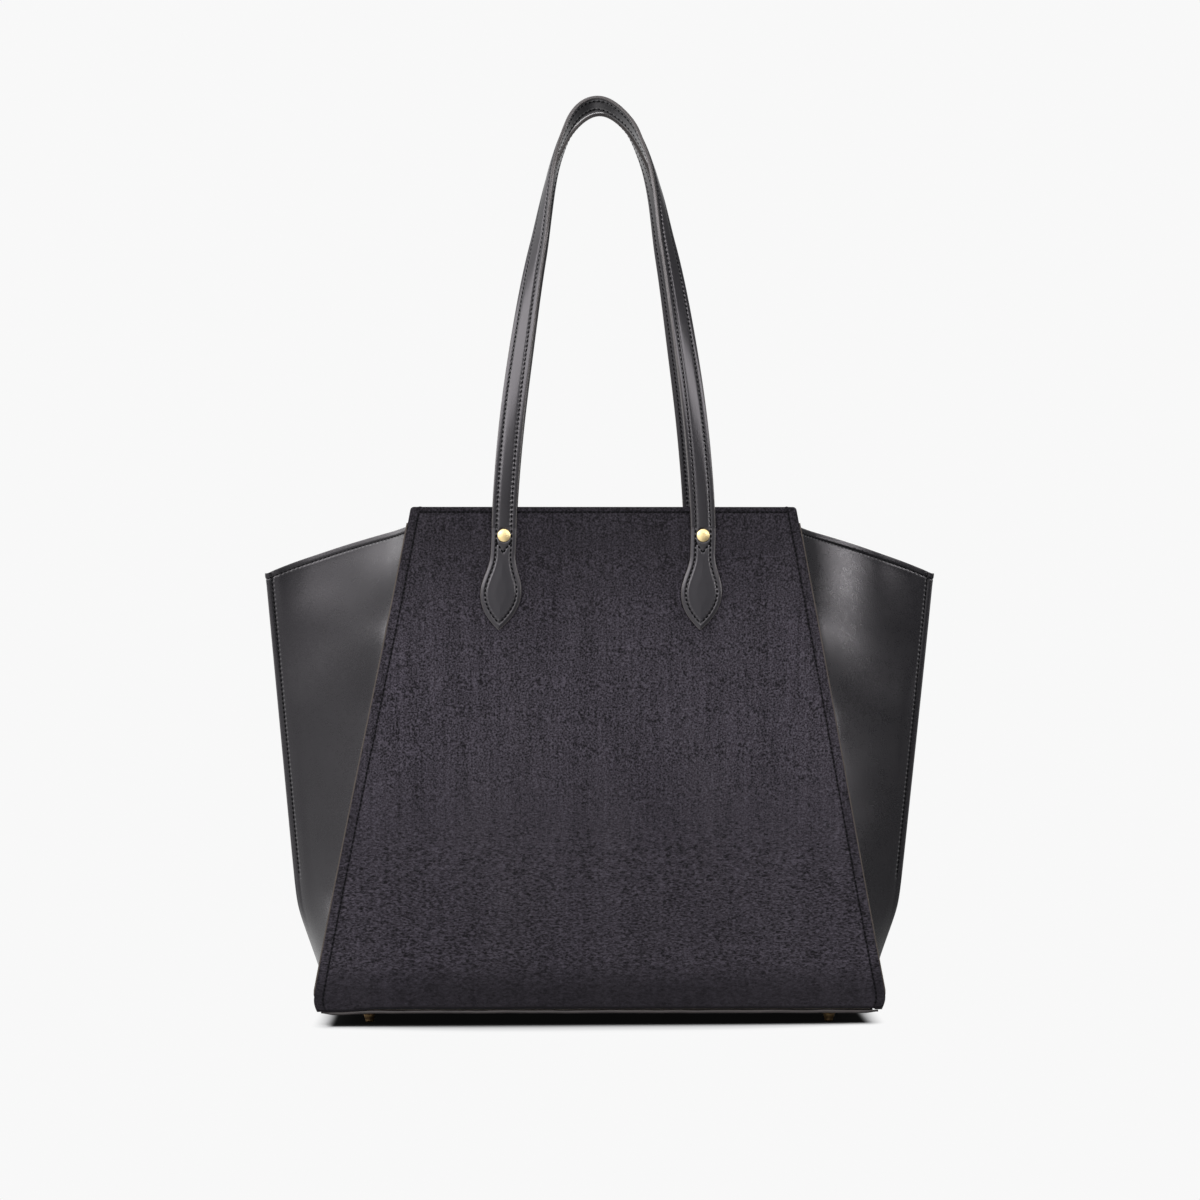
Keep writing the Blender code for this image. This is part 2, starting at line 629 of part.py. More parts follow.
def fold_centre(z):
    """Centre of the fold between the seam's flange and the wing, in plan."""
    flange_y = panel_face_y(z) - PANEL_THICKNESS - GAP - GUSSET_THICKNESS / 2
    return panel_half_width(z) - SEAM_ALLOWANCE, flange_y - FOLD_RADIUS


def fold_point(z, share):
    """A point round the fold, from the flange (0) to where the wing's wall leaves it (1)."""
    x, y = fold_centre(z)
    wall_angle = math.atan2(wing_power(z) * y, wing_tip_x(z) - x)
    sweep = math.pi - wall_angle
    angle = math.pi / 2 + sweep * share
    return x + FOLD_RADIUS * math.cos(angle), y + FOLD_RADIUS * math.sin(angle)


def wall_point(z, share):
    """A point on the wing's wall, from the pinched edge (0) to the fold (1)."""
    corner_x, corner_y = fold_point(z, 1)
    edge_x = wing_tip_x(z) - PINCH * pinched_share(z)
    x = edge_x - (edge_x - corner_x) * share
    y = PINCH + (corner_y - PINCH) * share ** wing_power(z)
    return Vector((x, y, z))


def flange_edge_x(z):
    """Outer edge of the seam's flange, which follows the panel's rounded lower corner."""
    into_corner = min(max(1 - (z - PANEL_BOTTOM) / PANEL_LOWER_RADIUS, 0), 1)
    trim = PANEL_LOWER_RADIUS * (1 - math.sqrt(1 - into_corner ** 2))
    return panel_half_width(z) + FLANGE_REVEAL - trim


def wall_share(column):
    """From 1 at the fold to 0 at the pinched edge, closer together towards the edge."""
    return (1 - column / WALL_COLUMNS) ** 2


def row_height(share, row):
    """Height of one row of the gusset, which follows its slanted upper edge."""
    up = (row / GUSSET_ROWS) ** GUSSET_ROW_SHARE
    return GUSSET_BOTTOM + (wing_top(share) - GUSSET_BOTTOM) * up


def add_gusset(hand, sign):
    """One gusset: seam flange, fold, wall and pinched edge, mirrored to the other panel."""
    first_wall = 1 + FOLD_COLUMNS
    last_column = first_wall + WALL_COLUMNS

    def form(column, row):
        share = wall_share(max(column - first_wall, 0))
        z = row_height(share, row)
        if column == 0:
            x, y = flange_edge_x(z), fold_point(z, 0)[1]
        elif column == last_column:
            x, y = wing_tip_x(z), 0
        elif column <= first_wall:
            x, y = fold_point(z, (column - 1) / FOLD_COLUMNS)
        else:
            x, y, z = wall_point(z, share)
        return Vector((sign * x, y, z))

    add_formed(
        hand + "_gusset", last_column, GUSSET_ROWS, form, GUSSET_THICKNESS, LEATHER, mirrored=True)


def lining_point(z, share):
    """A point of the gusset's lining: the wall's, moved square to the wall into the bag."""
    here = wall_point(z, share)
    across = wall_point(z, share - SHARE_STEP) - here
    upward = wall_point(z + HEIGHT_STEP, share) - here
    inward = across.cross(upward).normalized()
    if inward.y > 0:
        inward.negate()
    return here + inward * (GUSSET_THICKNESS / 2 + GAP + LINING_THICKNESS / 2)


def add_gusset_lining(hand, sign):
    """The lining of one wing, which turns back before the wing gets too narrow for it."""
    last_column = GUSSET_LINING_COLUMNS + 1
    rows = GUSSET_ROWS - 1

    def form(column, row):
        share = wall_share(min(column, GUSSET_LINING_COLUMNS))
        z = row_height(share, row + 1)
        if row == rows:
            z -= GUSSET_LINING_DROP
        point = lining_point(z, share)
        if column == last_column:
            wall = wall_point(z, share)
            slope = (wing_tip_x(z) - wall.x) / wall.y
            point.x += point.y * min(slope, 1) * GUSSET_LINING_TURN_SHARE
            point.y = 0
        point.x *= sign
        return point

    add_formed(
        hand + "_gusset_lining", last_column, rows, form, LINING_THICKNESS, LINING, mirrored=True)


# Handles

def strap_station(row, rise):
    """Place along the strap, from one end (1) over the top (0) to the other (-1)."""
    if row in (0, HANDLE_STATIONS):
        return 1 - 2 * row / HANDLE_STATIONS
    end = math.sqrt(1 - (HANDLE_STRAIGHT - GAP) / (rise - GAP))
    return end * (1 - 2 * (row - 1) / (HANDLE_STATIONS - 2))


def free_share(q, rise):
    """How far up the free part of the handle a place is, from 0 to 1 at the top."""
    climb = GAP + (rise - GAP) * (1 - q * q)
    return max(climb - HANDLE_STRAIGHT, 0) / (rise - HANDLE_STRAIGHT)


def strap_centre(q, rise, start, top):
    """Middle of the strap's thickness and width at one place."""
    height = 1 - q * q
    spread = math.sqrt(max(1 - height ** HANDLE_BOW_SHARE, 0))
    climb = GAP + (rise - GAP) * height
    lean = PANEL_SLOPE * climb
    lean += (top - start - PANEL_SLOPE * rise) * free_share(q, rise) ** HANDLE_LEAN_SHARE
    return Vector((-math.copysign(HANDLE_SPACING / 2 * spread, q), start + lean, climb))


def strap_frame(q, rise, start, top):
    """Middle of the strap with the directions across it and out of its face."""
    centre = strap_centre(q, rise, start, top)
    before = strap_centre(min(q + SHARE_STEP, 1), rise, start, top)
    after = strap_centre(max(q - SHARE_STEP, -1), rise, start, top)
    along = (after - before).normalized()
    inward = Vector((0, 1, 0))
    inward = (inward - along * inward.dot(along)).normalized()
    outward = along.cross(inward)
    twist = math.pi / 2 * (1 - (1 - free_share(q, rise)) ** HANDLE_TWIST_SHARE)
    normal = outward * math.sin(twist) - inward * math.cos(twist)
    return centre, along.cross(normal), normal


def add_strap_layer(name, profile, thickness, rise, material, frame, axis_y):
    """One layer of a handle strap: (across, out) pairs swept along the handle's arch."""
    start = HINGE_CLEARANCE + STRAP_THICKNESS / 2
    top = axis_y - STRAP_WIDTH / 2 - HANDLE_MEETING

    def form(column, row):
        centre, side, normal = strap_frame(strap_station(row, rise), rise, start, top)
        across, out = profile[column]
        return centre + side * across + normal * out

    add_formed(
        name, len(profile) - 1, HANDLE_STATIONS, form, thickness, material, frame)


def add_handle(side, rise, frame, axis_y):
    """Backing, filler and face of one handle, all swept along the same arch."""
    half = STRAP_WIDTH / 2
    filler = STRAP_FILLER_WIDTH / 2
    crown = STRAP_CROWN_WIDTH / 2
    flank = crown + STRAP_FLANK
    low = STRAP_FACE_OFFSET
    high = low + STRAP_RAISE
    face = [(-half, low), (-flank, low), (-crown, high), (crown, high), (flank, low), (half, low)]
    back = STRAP_BACKING_OFFSET
    backing = [(-half, back), (-filler, back), (filler, back), (half, back)]
    core = [(-filler, STRAP_FILLER_OFFSET), (filler, STRAP_FILLER_OFFSET)]
    layers = (
        ("strap_face", face, STRAP_FACE, LEATHER),
        ("strap_filler", core, STRAP_FILLER, BOARD),
        ("strap_backing", backing, STRAP_BACKING, LEATHER))
    for layer, profile, thickness, material in layers:
        add_strap_layer(f"{side}_{layer}", profile, thickness, rise, material, frame, axis_y)


clear_scene()
BAG = make_collection("suede_tote_bag")
CUTTERS = make_collection("cutters")

SUEDE = make_material("suede", (0.040, 0.036, 0.046), 0.95)
LEATHER = make_material("smooth_leather", (0.020, 0.019, 0.022), 0.42)
LINING = make_material("lining_fabric", (0.060, 0.055, 0.060), 0.85)
BOARD = make_material("stiffener_board", (0.30, 0.27, 0.23), 0.9)
GILT = make_material("gilt_brass", (0.85, 0.69, 0.36), 0.22, 1)
AGED_BRASS = make_material("aged_brass", (0.10, 0.07, 0.045), 0.45, 1)
STEEL = make_material("nickelled_steel", (0.55, 0.54, 0.52), 0.3, 1)

add_base()
add_feet()
for depth_side, toward_side, heading, handle_rise in (
        ("front", -1, 0, FRONT_HANDLE_RISE), ("back", 1, math.pi, BACK_HANDLE_RISE)):
    panel_frame = add_empty(
        depth_side + "_frame", (0, toward_side * BASE_DEPTH / 2, PANEL_BOTTOM),
        (-PANEL_TILT, 0, heading))
    add_panel_layers(depth_side, panel_frame)
    add_tab_fittings(depth_side, panel_frame)
    add_piping(depth_side, toward_side)
    if depth_side == "front":
        add_snap_stud(panel_frame)
    else:
        add_snap_socket(panel_frame)
        add_pocket(panel_frame)
    hinge_z = PANEL_BOTTOM + TAB_TOP * math.cos(PANEL_TILT)
    hinge_z += (GAP + STRAP_THICKNESS) * math.sin(PANEL_TILT)
    hinge_y = panel_face_y(hinge_z) + GAP + STRAP_THICKNESS + HINGE_CLEARANCE
    handle_frame = add_empty(
        depth_side + "_handle_frame", (0, toward_side * hinge_y, hinge_z), (0, 0, heading))
    add_handle(depth_side, handle_rise, handle_frame, hinge_y)
for wing_hand, wing_sign in (("left", -1), ("right", 1)):
    add_gusset(wing_hand, wing_sign)
    add_gusset_lining(wing_hand, wing_sign)
bpy.context.view_layer.update()
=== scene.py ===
# %% [markdown]
# # A suede tote bag, dressed over its CAD frame
#
# The CAD frame holds every solid of the bag in the right place, but its surfaces are plain.
# This lesson lays the real surfaces over it: brushed suede, smooth leather, thread and brass.
# The frame is loaded first, because every piece takes its place from it.

# %% Load the frame
import math

import bpy
import numpy as np
from mathutils import Matrix, Vector, noise


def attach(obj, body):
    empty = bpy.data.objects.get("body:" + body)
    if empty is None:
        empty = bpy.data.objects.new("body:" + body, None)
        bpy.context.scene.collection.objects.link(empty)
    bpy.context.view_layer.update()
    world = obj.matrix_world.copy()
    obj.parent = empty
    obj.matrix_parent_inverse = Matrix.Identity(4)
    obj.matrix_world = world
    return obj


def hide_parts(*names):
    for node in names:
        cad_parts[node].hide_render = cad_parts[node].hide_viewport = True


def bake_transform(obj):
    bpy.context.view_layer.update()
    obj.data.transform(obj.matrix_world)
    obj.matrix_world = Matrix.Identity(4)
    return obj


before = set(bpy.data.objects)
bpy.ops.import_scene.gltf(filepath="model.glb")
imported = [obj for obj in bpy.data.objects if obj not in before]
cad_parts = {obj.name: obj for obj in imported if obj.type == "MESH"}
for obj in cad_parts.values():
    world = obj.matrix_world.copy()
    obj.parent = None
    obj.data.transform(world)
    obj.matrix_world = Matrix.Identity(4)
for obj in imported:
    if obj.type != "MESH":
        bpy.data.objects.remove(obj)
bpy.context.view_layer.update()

MM = 0.001
bpy.ops.object.select_all(action="DESELECT")

# %% [markdown]
# ## The sizes of the bag
#
# A bag maker cuts every piece from one set of patterns. The same is done here: the sizes of
# the CAD part are written down once, and each surface below is worked out from them. Then a
# dense, soft surface still lies exactly where the plain solid does. A bag in use never stands
# quite straight, so one helper leans every finished point a little to one side.

# %% Sizes of the body
GAP = 0.3 * MM                      # between two layers
BASE_DEPTH = 150.0 * MM
RIM_NARROWING = 25.6 * MM
PANEL_HEIGHT = 330.0 * MM
PANEL_BOTTOM = 12.8 * MM
PANEL_BOTTOM_WIDTH = 380.0 * MM
PANEL_TOP_WIDTH = 255.5 * MM
PANEL_THICKNESS = 1.6 * MM
PANEL_TILT = math.asin(RIM_NARROWING / 2 / PANEL_HEIGHT)
PANEL_SLOPE = math.tan(PANEL_TILT)
PANEL_TOP = PANEL_BOTTOM + PANEL_HEIGHT * math.cos(PANEL_TILT)
EDGE_SLOPE = (PANEL_BOTTOM_WIDTH - PANEL_TOP_WIDTH) / 2 / PANEL_HEIGHT
LAYER_INSET = 9.5 * MM
LAYER_RADIUS = 3.0 * MM
FACING_HEIGHT = 38.0 * MM
FACING_DEPTH = 3.4 * MM             # its near face, behind the panel's face
FACING_THICKNESS = 1.0 * MM
LINING_THICKNESS = 0.6 * MM
FACING_BOTTOM = PANEL_HEIGHT - FACING_HEIGHT


def edge_half_width(height):
    """Half the panel's width, at a height along its sheet."""
    return PANEL_BOTTOM_WIDTH / 2 - EDGE_SLOPE * height


def panel_face_y(z):
    """Half the bag's depth at a height, to the outside of the panels."""
    return BASE_DEPTH / 2 - PANEL_SLOPE * (z - PANEL_BOTTOM)


def smooth(value, low, high):
    """From 0 at low to 1 at high, level at both ends."""
    share = np.clip((value - low) / (high - low), 0, 1)
    return share * share * (3 - 2 * share)


def ridge(distance, width):
    """A soft ridge: 1 on the line and near 0 a few widths away."""
    return np.exp(-(distance / width) ** 2)


LEAN = 2.6 * MM                     # how far the bag stands to the right, at its rim
LEAN_HEIGHTS = (20 * MM, 330 * MM)  # between these it grows to that
CROWN_HEIGHTS = (545 * MM, 620 * MM)  # between these the handles come back a little
LEFT_TIP = (-225 * MM, -130 * MM)   # the left wing's tip stays where it is


def settle(points):
    """Lean the points of a piece to the right, more with height."""
    x, z = points[..., 0], points[..., 2]
    share = smooth(z, *LEAN_HEIGHTS) * (1 - 0.6 * smooth(z, *CROWN_HEIGHTS)) * smooth(x, *LEFT_TIP)
    return points + np.stack([LEAN * share, 0 * x, 0 * x], axis=-1)


print(f"panel top {PANEL_TOP / MM:.2f} mm above the floor,",
      f"tilt {math.degrees(PANEL_TILT):.2f} degrees")

# %% [markdown]
# ## From numbers to a mesh
#
# Leather and suede are sheets. In Blender a sheet could be sculpted, draped by a cloth
# simulation or laid out as a grid. These sheets are stiff, sewn and held by a frame, so a
# grid whose points are worked out row by row gives the closest form, with the seams as true
# lines of the mesh. The helpers below add a grid, move its points, give it thickness and
# round its cut edges.

# %% Helpers that make and finish a mesh
NO_SEAM = 99.0                      # a distance that stands for: no stitch line is near


def pick(piece):
    """Select one piece and nothing else."""
    bpy.ops.object.select_all(action="DESELECT")
    bpy.context.view_layer.objects.active = piece
    piece.select_set(True)


def edit(piece):
    """Open a piece in edit mode with everything selected."""
    pick(piece)
    bpy.ops.object.mode_set(mode="EDIT")
    bpy.ops.mesh.select_all(action="SELECT")


def apply_modifier(piece, kind, **settings):
    """Add a modifier with its settings and apply it."""
    modifier = piece.modifiers.new(kind.title(), kind)
    for name, value in settings.items():
        setattr(modifier, name, value)
    pick(piece)
    bpy.ops.object.modifier_apply(modifier=modifier.name)


def lay_sheet(name, points, seam=None, closed=False):
    """A grid laid on rows of points, with the seam's distance and length as its UV map."""
    rows, columns = points.shape[0] - 1, points.shape[1] - 1
    bpy.ops.mesh.primitive_grid_add(x_subdivisions=columns, y_subdivisions=rows, size=2)
    piece = bpy.context.object
    piece.name = piece.data.name = name
    mesh = piece.data
    flat = np.zeros(len(mesh.vertices) * 3)
    mesh.vertices.foreach_get("co", flat)
    flat = flat.reshape(-1, 3)
    column, row = (
        np.rint((flat[:, axis] + 1) / 2 * count).astype(int)
        for axis, count in enumerate((columns, rows)))
    mesh.vertices.foreach_set("co", settle(points)[row, column].ravel())
    corners = np.zeros(len(mesh.loops), dtype=int)
    mesh.loops.foreach_get("vertex_index", corners)
    if seam is None:
        seam = np.full(points.shape[:2] + (2,), NO_SEAM)
    layer = mesh.uv_layers[0]
    layer.name = "seam"
    layer.uv.foreach_set("vector", seam[row, column][corners].ravel())
    if closed:
        edit(piece)
        bpy.ops.mesh.remove_doubles(threshold=0.002 * MM)
        bpy.ops.mesh.fill_holes(sides=0)
        bpy.ops.mesh.normals_make_consistent(inside=False)
        bpy.ops.object.mode_set(mode="OBJECT")
    return piece


def thicken(piece, thickness, offset=-1, rounding=0.3 * MM):
    """Give a sheet its thickness and soften its cut edges."""
    apply_modifier(piece, "SOLIDIFY", thickness=thickness, offset=offset)
    if rounding:
        apply_modifier(
            piece, "BEVEL", width=rounding, segments=2, limit_method="ANGLE",
            angle_limit=math.radians(60), use_clamp_overlap=True)


def unit(vectors):
    """The same directions, each of length 1."""
    return vectors / np.maximum(np.linalg.norm(vectors, axis=-1, keepdims=True), 1e-12)


def surface_normals(points):
    """The direction out of a grid of points, at each of them."""
    return unit(np.cross(np.gradient(points, axis=1), np.gradient(points, axis=0)))


def lengths_along(path):
    """How far along a line each of its points lies."""
    steps = np.linalg.norm(np.diff(path, axis=0), axis=-1)
    return np.concatenate([0 * steps[:1], np.cumsum(steps, axis=0)])


def ripple(points, size, seed):
    """Slow, smooth noise in space, from about -1 to 1, that bends a sheet a little."""
    shift = Vector((seed, seed * 1.7, seed * 0.6))
    values = [noise.noise(Vector(point) / size + shift) for point in points.reshape(-1, 3)]
    return np.array(values).reshape(points.shape[:-1])


def dress(piece, body, slot, material, *nodes, angle=40):
    """Shade a finished piece, give it its material and tie it to the CAD part."""
    piece.data.materials.clear()
    piece.data.materials.append(material)
    pick(piece)
    bpy.ops.object.shade_smooth_by_angle(angle=math.radians(angle))
    piece.select_set(False)
    if body:
        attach(piece, body)
    if nodes:
        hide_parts(*nodes)
    print(f"{piece.name}: {len(piece.data.polygons)} faces")


def add_layer(name, points, thickness, slot, material, node, seam=None, **edges):
    """Lay one sheet of the bag's body, thicken it and dress it."""
    piece = lay_sheet(name, points, seam)
    thicken(piece, thickness, **edges)
    dress(piece, "bag", slot, material, node)


print("helpers for sheets are ready")


# %% [markdown]
# ## Writing a material as a sum
#
# A material is a net of small nodes. Drawing the net by hand is pleasant, but in code a long
# list of links is hard to read. So a socket is wrapped in a small class whose plus, minus and
# times add Math nodes. After that a pattern reads like the sum on paper that it is.

# %% A socket that does sums, and a finish that holds them
class Channel:
    """A node's socket that can stand in a sum."""

    def __init__(self, finish, socket):
        self.finish = finish
        self.socket = socket

    def math(self, operation, *others):
        return self.finish.node(
            "ShaderNodeMath", dict(enumerate((self, *others))), operation=operation)

    def __add__(self, other):
        return self.math("ADD", other)

    def __mul__(self, other):
        return self.math("MULTIPLY", other)

    def __sub__(self, other):
        return self.math("SUBTRACT", other)

    def __rsub__(self, other):
        return self * -1 + other

    def __truediv__(self, other):
        return self.math("DIVIDE", other)

    __radd__ = __add__
    __rmul__ = __mul__

    def step(self, low, high):
        """From 0 at low to 1 at high, level at both ends."""
        return self.finish.node(
            "ShaderNodeMapRange", {"Value": self, "From Min": low, "From Max": high},
            interpolation_type="SMOOTHSTEP")

    def ridge(self, width):
        """1 where the value is 0, fading over a width on both sides."""
        return self.math("ABSOLUTE").step(width, 0)

    def wave(self, length):
        """From 0 to 1 and back once a length."""
        return (self * (2 * math.pi / length)).math("COSINE") * 0.5 + 0.5

def opaque(colour):
    """A plain colour as a socket takes it. A linked one stays as it is."""
    return colour if isinstance(colour, Channel) else (*colour, 1)


class Finish:
    """A material that is built up from its nodes."""

    def __init__(self, name, **constants):
        self.material = bpy.data.materials.new(name)
        self.material.use_nodes = True
        self.tree = self.material.node_tree
        self.shader = self.tree.nodes["Principled BSDF"]
        for socket, value in constants.items():
            self.shader.inputs[socket.replace("_", " ")].default_value = value
        self.place = self.node("ShaderNodeTexCoord", out="Object")

    def node(self, kind, values=None, out=0, **settings):
        """Add a node, set it up, then fill or link its sockets."""
        node = self.tree.nodes.new(kind)
        for name, value in settings.items():
            setattr(node, name, value)
        for socket, value in (values or {}).items():
            if isinstance(value, Channel):
                self.tree.links.new(value.socket, node.inputs[socket])
            else:
                node.inputs[socket].default_value = value
        return Channel(self, node.outputs[out])

    def stretch(self, x, y, z):
        """Object coordinates, measured in units of so many metres each way."""
        return self.node(
            "ShaderNodeVectorMath", {0: self.place, 1: (1 / x, 1 / y, 1 / z)}, operation="MULTIPLY")

    def noise(self, x, y=None, z=None, detail=2.0, rough=0.5, warp=0.0):
        """Cloudy noise from 0 to 1, with the size of its clouds each way."""
        vector = self.stretch(x, y or x, z or x)
        return self.node(
            "ShaderNodeTexNoise",
            {"Vector": vector, "Scale": 1.0, "Detail": detail, "Roughness": rough,
             "Distortion": warp})

    def cells(self, size):
        """Distance from the middle of a cell, as in the pebbles of leather."""
        return self.node(
            "ShaderNodeTexVoronoi", {"Vector": self.stretch(size, size, size), "Scale": 1.0})

    def axis(self, index):
        """One of the three object coordinates."""
        return self.node("ShaderNodeSeparateXYZ", {0: self.place}, out=index)

    def seam(self, index):
        """Distance from the nearest stitch line (0) or length along it (1), in millimetres."""
        uv = self.node("ShaderNodeUVMap", uv_map="seam")
        return self.node("ShaderNodeSeparateXYZ", {0: uv}, out=index)

    def blend(self, share, first, second):
        """A colour between two others."""
        return self.node(
            "ShaderNodeMix", {0: share, 6: opaque(first), 7: opaque(second)}, out=2,
            data_type="RGBA", clamp_factor=True)

    def shade(self, colour, amount):
        """A colour made lighter or darker by a factor."""
        scale = self.node("ShaderNodeCombineXYZ", {0: amount, 1: amount, 2: amount})
        return self.node(
            "ShaderNodeMix", {0: 1.0, 6: opaque(colour), 7: scale}, out=2, data_type="RGBA",
            blend_type="MULTIPLY", clamp_result=False)

    def use(self, colour, roughness=None, height=None):
        """Link the results to the shader. The height is in millimetres."""
        self.tree.links.new(colour.socket, self.shader.inputs["Base Color"])
        if roughness is not None:
            self.tree.links.new(roughness.socket, self.shader.inputs["Roughness"])
        if height is not None:
            bump = self.node("ShaderNodeBump", {"Strength": 1.0, "Distance": MM, "Height": height})
            self.tree.links.new(bump.socket, self.shader.inputs["Normal"])
        return self.material


STITCH_PITCH = 3.1                  # millimetres from one stitch to the next
print("stitch pitch:", STITCH_PITCH, "mm")

# %% [markdown]
# ## Suede
#
# Suede is the brushed inner side of a hide. Its nap lies in soft streaks where a hand has
# passed, shows darker and lighter patches of fine fibres, and wrinkles into a worm-like
# grain near the base, where the bag is handled. Noise that is stretched upright gives the
# streaks, noise that is flattened and warped gives the wrinkles, and a mask by height passes
# from one to the other. The sheen of the fibres is the shader's own. A few pale flecks of
# lint make it a used bag. Its colour is set darker toward the rim and lower down, a little
# lighter toward the slanted edges and a little darker between the stitches and the cut edge.
# The band nearest the base, the stitch lines and the hem under the lower edge are darkened
# with painted shade.

# %% Suede
def make_suede():
    suede = Finish(
        "brushed_suede", Metallic=0, Specular_IOR_Level=0.10, Sheen_Weight=0.18,
        Sheen_Roughness=0.45, Sheen_Tint=(0.78, 0.74, 0.86, 1))
    height, across = suede.axis(2), suede.axis(0)
    low = height.step(0.190, 0.085)         # handled and wrinkled
    bottom = height.step(0.046, 0.020)      # in the shade of the base
    brushed = height.step(0.235, 0.345)     # darker toward the rim
    streaks = suede.noise(2.3 * MM, 9 * MM, 60 * MM, detail=3, rough=0.6)
    strokes = suede.noise(9 * MM, 20 * MM, 110 * MM)
    patches = suede.noise(42 * MM, 42 * MM, 80 * MM)
    crepe = suede.noise(1.15 * MM, warp=0.3)
    worms = suede.noise(2.3 * MM, 2.3 * MM, 1.05 * MM, warp=0.7)
    fibre = suede.noise(0.40 * MM, 0.40 * MM, 0.70 * MM, rough=0.7)
    lint = suede.cells(17 * MM).step(0.035, 0.0) * fibre.step(0.42, 0.6)
    nap = (streaks - 0.5) * (1.3 - low * 0.9) + (strokes - 0.5) * 0.55 + (patches - 0.5) * 0.35
    grain = (crepe - 0.5) * (1 - low) + (worms - 0.5) * low
    grain = grain * (5.6 - bottom * 3.0) + (fibre - 0.5) * 1.6
    # Darker toward the rim and lower down, lighter at the slanted edges; lowest band: painted
    # shade.
    fall = 1.03 - brushed * 0.47 - low * 0.15 - bottom * 0.43
    fall = fall + across.math("ABSOLUTE").step(0.05, 0.17) * 0.10
    # Painted shade in the stitch groove and the hem; the margin outside the stitches is a bit
    # darker.
    groove = suede.seam(0).ridge(1.5)
    margin = suede.seam(0).step(-0.5, -1.8)
    hem_shadow = suede.seam(1).step(2.2, 1.0) * height.step(0.030, 0.020)
    tone = fall * (1.05 + nap + grain)
    for mark, depth in ((groove, 0.60), (margin, 0.15), (hem_shadow, 0.65)):
        tone = tone * (1 - mark * depth)
    colour = suede.blend(patches, (0.0362, 0.0317, 0.0410), (0.0340, 0.0302, 0.0367))
    colour = suede.shade(colour, tone.math("MAXIMUM", 0.16))
    colour = suede.blend(lint * 0.6, colour, (0.20, 0.19, 0.20))
    return suede.use(colour, 0.86 + (fibre - 0.5) * 0.15, grain * 0.05 + streaks * 0.10)


SUEDE = make_suede()
print(SUEDE.name, "has", len(SUEDE.node_tree.nodes), "nodes")

# %% [markdown]
# ## Smooth leather, its cut edges and its thread
#
# The wings, tabs and straps are smooth black calf leather. It is nearly black by itself: what
# the eye sees is the soft reflection of the studio. So the colour is dark, and the work goes
# into roughness that varies slowly and a fine pebble grain. Along a stitch line the leather
# is drawn down at each stitch and stands up beside it. The groove is darkened with painted
# shade, and the raised leather between the stitches carries pale painted highlights. The
# straps and tabs are cut from a glossier, closer hide. All three leathers are made paler
# along their rims, outside the stitches. The raw edges of the wings and the paint on the welt
# are finishes of their own; the welt's pale tone is in part a painted reflection of its round
# top.

# %% Smooth leather
def make_leather(name, dark, worn, rim, gloss, rough, grain, groove):
    """Calf leather. Gloss, roughness, grain and the painted shade in the stitch groove are 0 to 1.
    """
    leather = Finish(
        name, Metallic=0, Specular_IOR_Level=gloss, Specular_Tint=(1.0, 0.945, 0.995, 1))
    distance, along = leather.seam(0), leather.seam(1)
    cloud = leather.noise(46 * MM, detail=3)
    mottle = leather.noise(5 * MM, detail=3, rough=0.6)
    pebble = leather.cells(0.9 * MM)
    pores = leather.noise(0.55 * MM, detail=2)
    stitched = distance.ridge(1.4) * along.wave(STITCH_PITCH)
    between = (along + STITCH_PITCH / 4).wave(STITCH_PITCH)
    lip_highlight = (distance - 1.25).ridge(0.75) * between * between
    colour = leather.blend(mottle * 0.6 + cloud * 0.4, dark, worn)
    # Painted shade: the colour is darkened along the stitch groove.
    colour = leather.shade(colour, 1 - distance.ridge(1.2) * groove)
    # Paler along the rim, outside the stitches.
    colour = leather.blend(distance.step(-2.4, -3.2) * (0.55 + mottle * 0.6), colour, rim)
    # Painted highlight: pale dashes on the raised leather beside the stitches.
    colour = leather.blend(lip_highlight * (0.22 + grain * 0.23), colour, (0.20, 0.195, 0.20))
    varied = (cloud - 0.5) * 0.10 + (mottle - 0.5) * 0.08 + (pebble - 0.5) * 0.06
    roughness = rough + varied * (0.4 + grain * 0.6)
    height = (pebble * 0.035 + pores * 0.02 + mottle * 0.02) * (0.25 + grain * 0.75)
    return leather.use(colour, roughness, height - stitched * 0.18)


LEATHER = make_leather(
    "smooth_calf", dark=(0.0098, 0.0096, 0.0112), worn=(0.0138, 0.0134, 0.0152),
    rim=(0.045, 0.042, 0.045), gloss=0.39, rough=0.285, grain=1, groove=0.75)
STRAP_LEATHER = make_leather(
    "strap_calf", dark=(0.0130, 0.0126, 0.0145), worn=(0.0180, 0.0175, 0.0198),
    rim=(0.066, 0.060, 0.057), gloss=0.60, rough=0.29, grain=0, groove=0.15)
TAB_LEATHER = make_leather(
    "tab_calf", dark=(0.0190, 0.0184, 0.0212), worn=(0.0240, 0.0232, 0.0265),
    rim=(0.078, 0.070, 0.066), gloss=0.60, rough=0.32, grain=0, groove=0.35)
print("leathers:", LEATHER.name, STRAP_LEATHER.name, TAB_LEATHER.name)


# %% Raw and painted edges
def make_edge(name, low, high):
    edge = Finish(name, Metallic=0, Specular_IOR_Level=0.35)
    fibre = edge.noise(6 * MM, 0.8 * MM, 0.6 * MM, detail=3, rough=0.6)
    patch = edge.noise(14 * MM, detail=2)
    colour = edge.blend(fibre * 0.6 + patch * 0.4, low, high)
    return edge.use(colour, 0.62 - patch * 0.15, fibre * 0.09)


RAW_EDGE = make_edge("raw_leather_edge", (0.050, 0.041, 0.037), (0.150, 0.120, 0.100))
# The welt's pale tone is its edge paint and in part a painted reflection of its round top.
WELT_PAINT_SHINE = make_edge("welt_paint_shine", (0.016, 0.014, 0.015), (0.078, 0.068, 0.067))
print("edges:", RAW_EDGE.name, WELT_PAINT_SHINE.name)


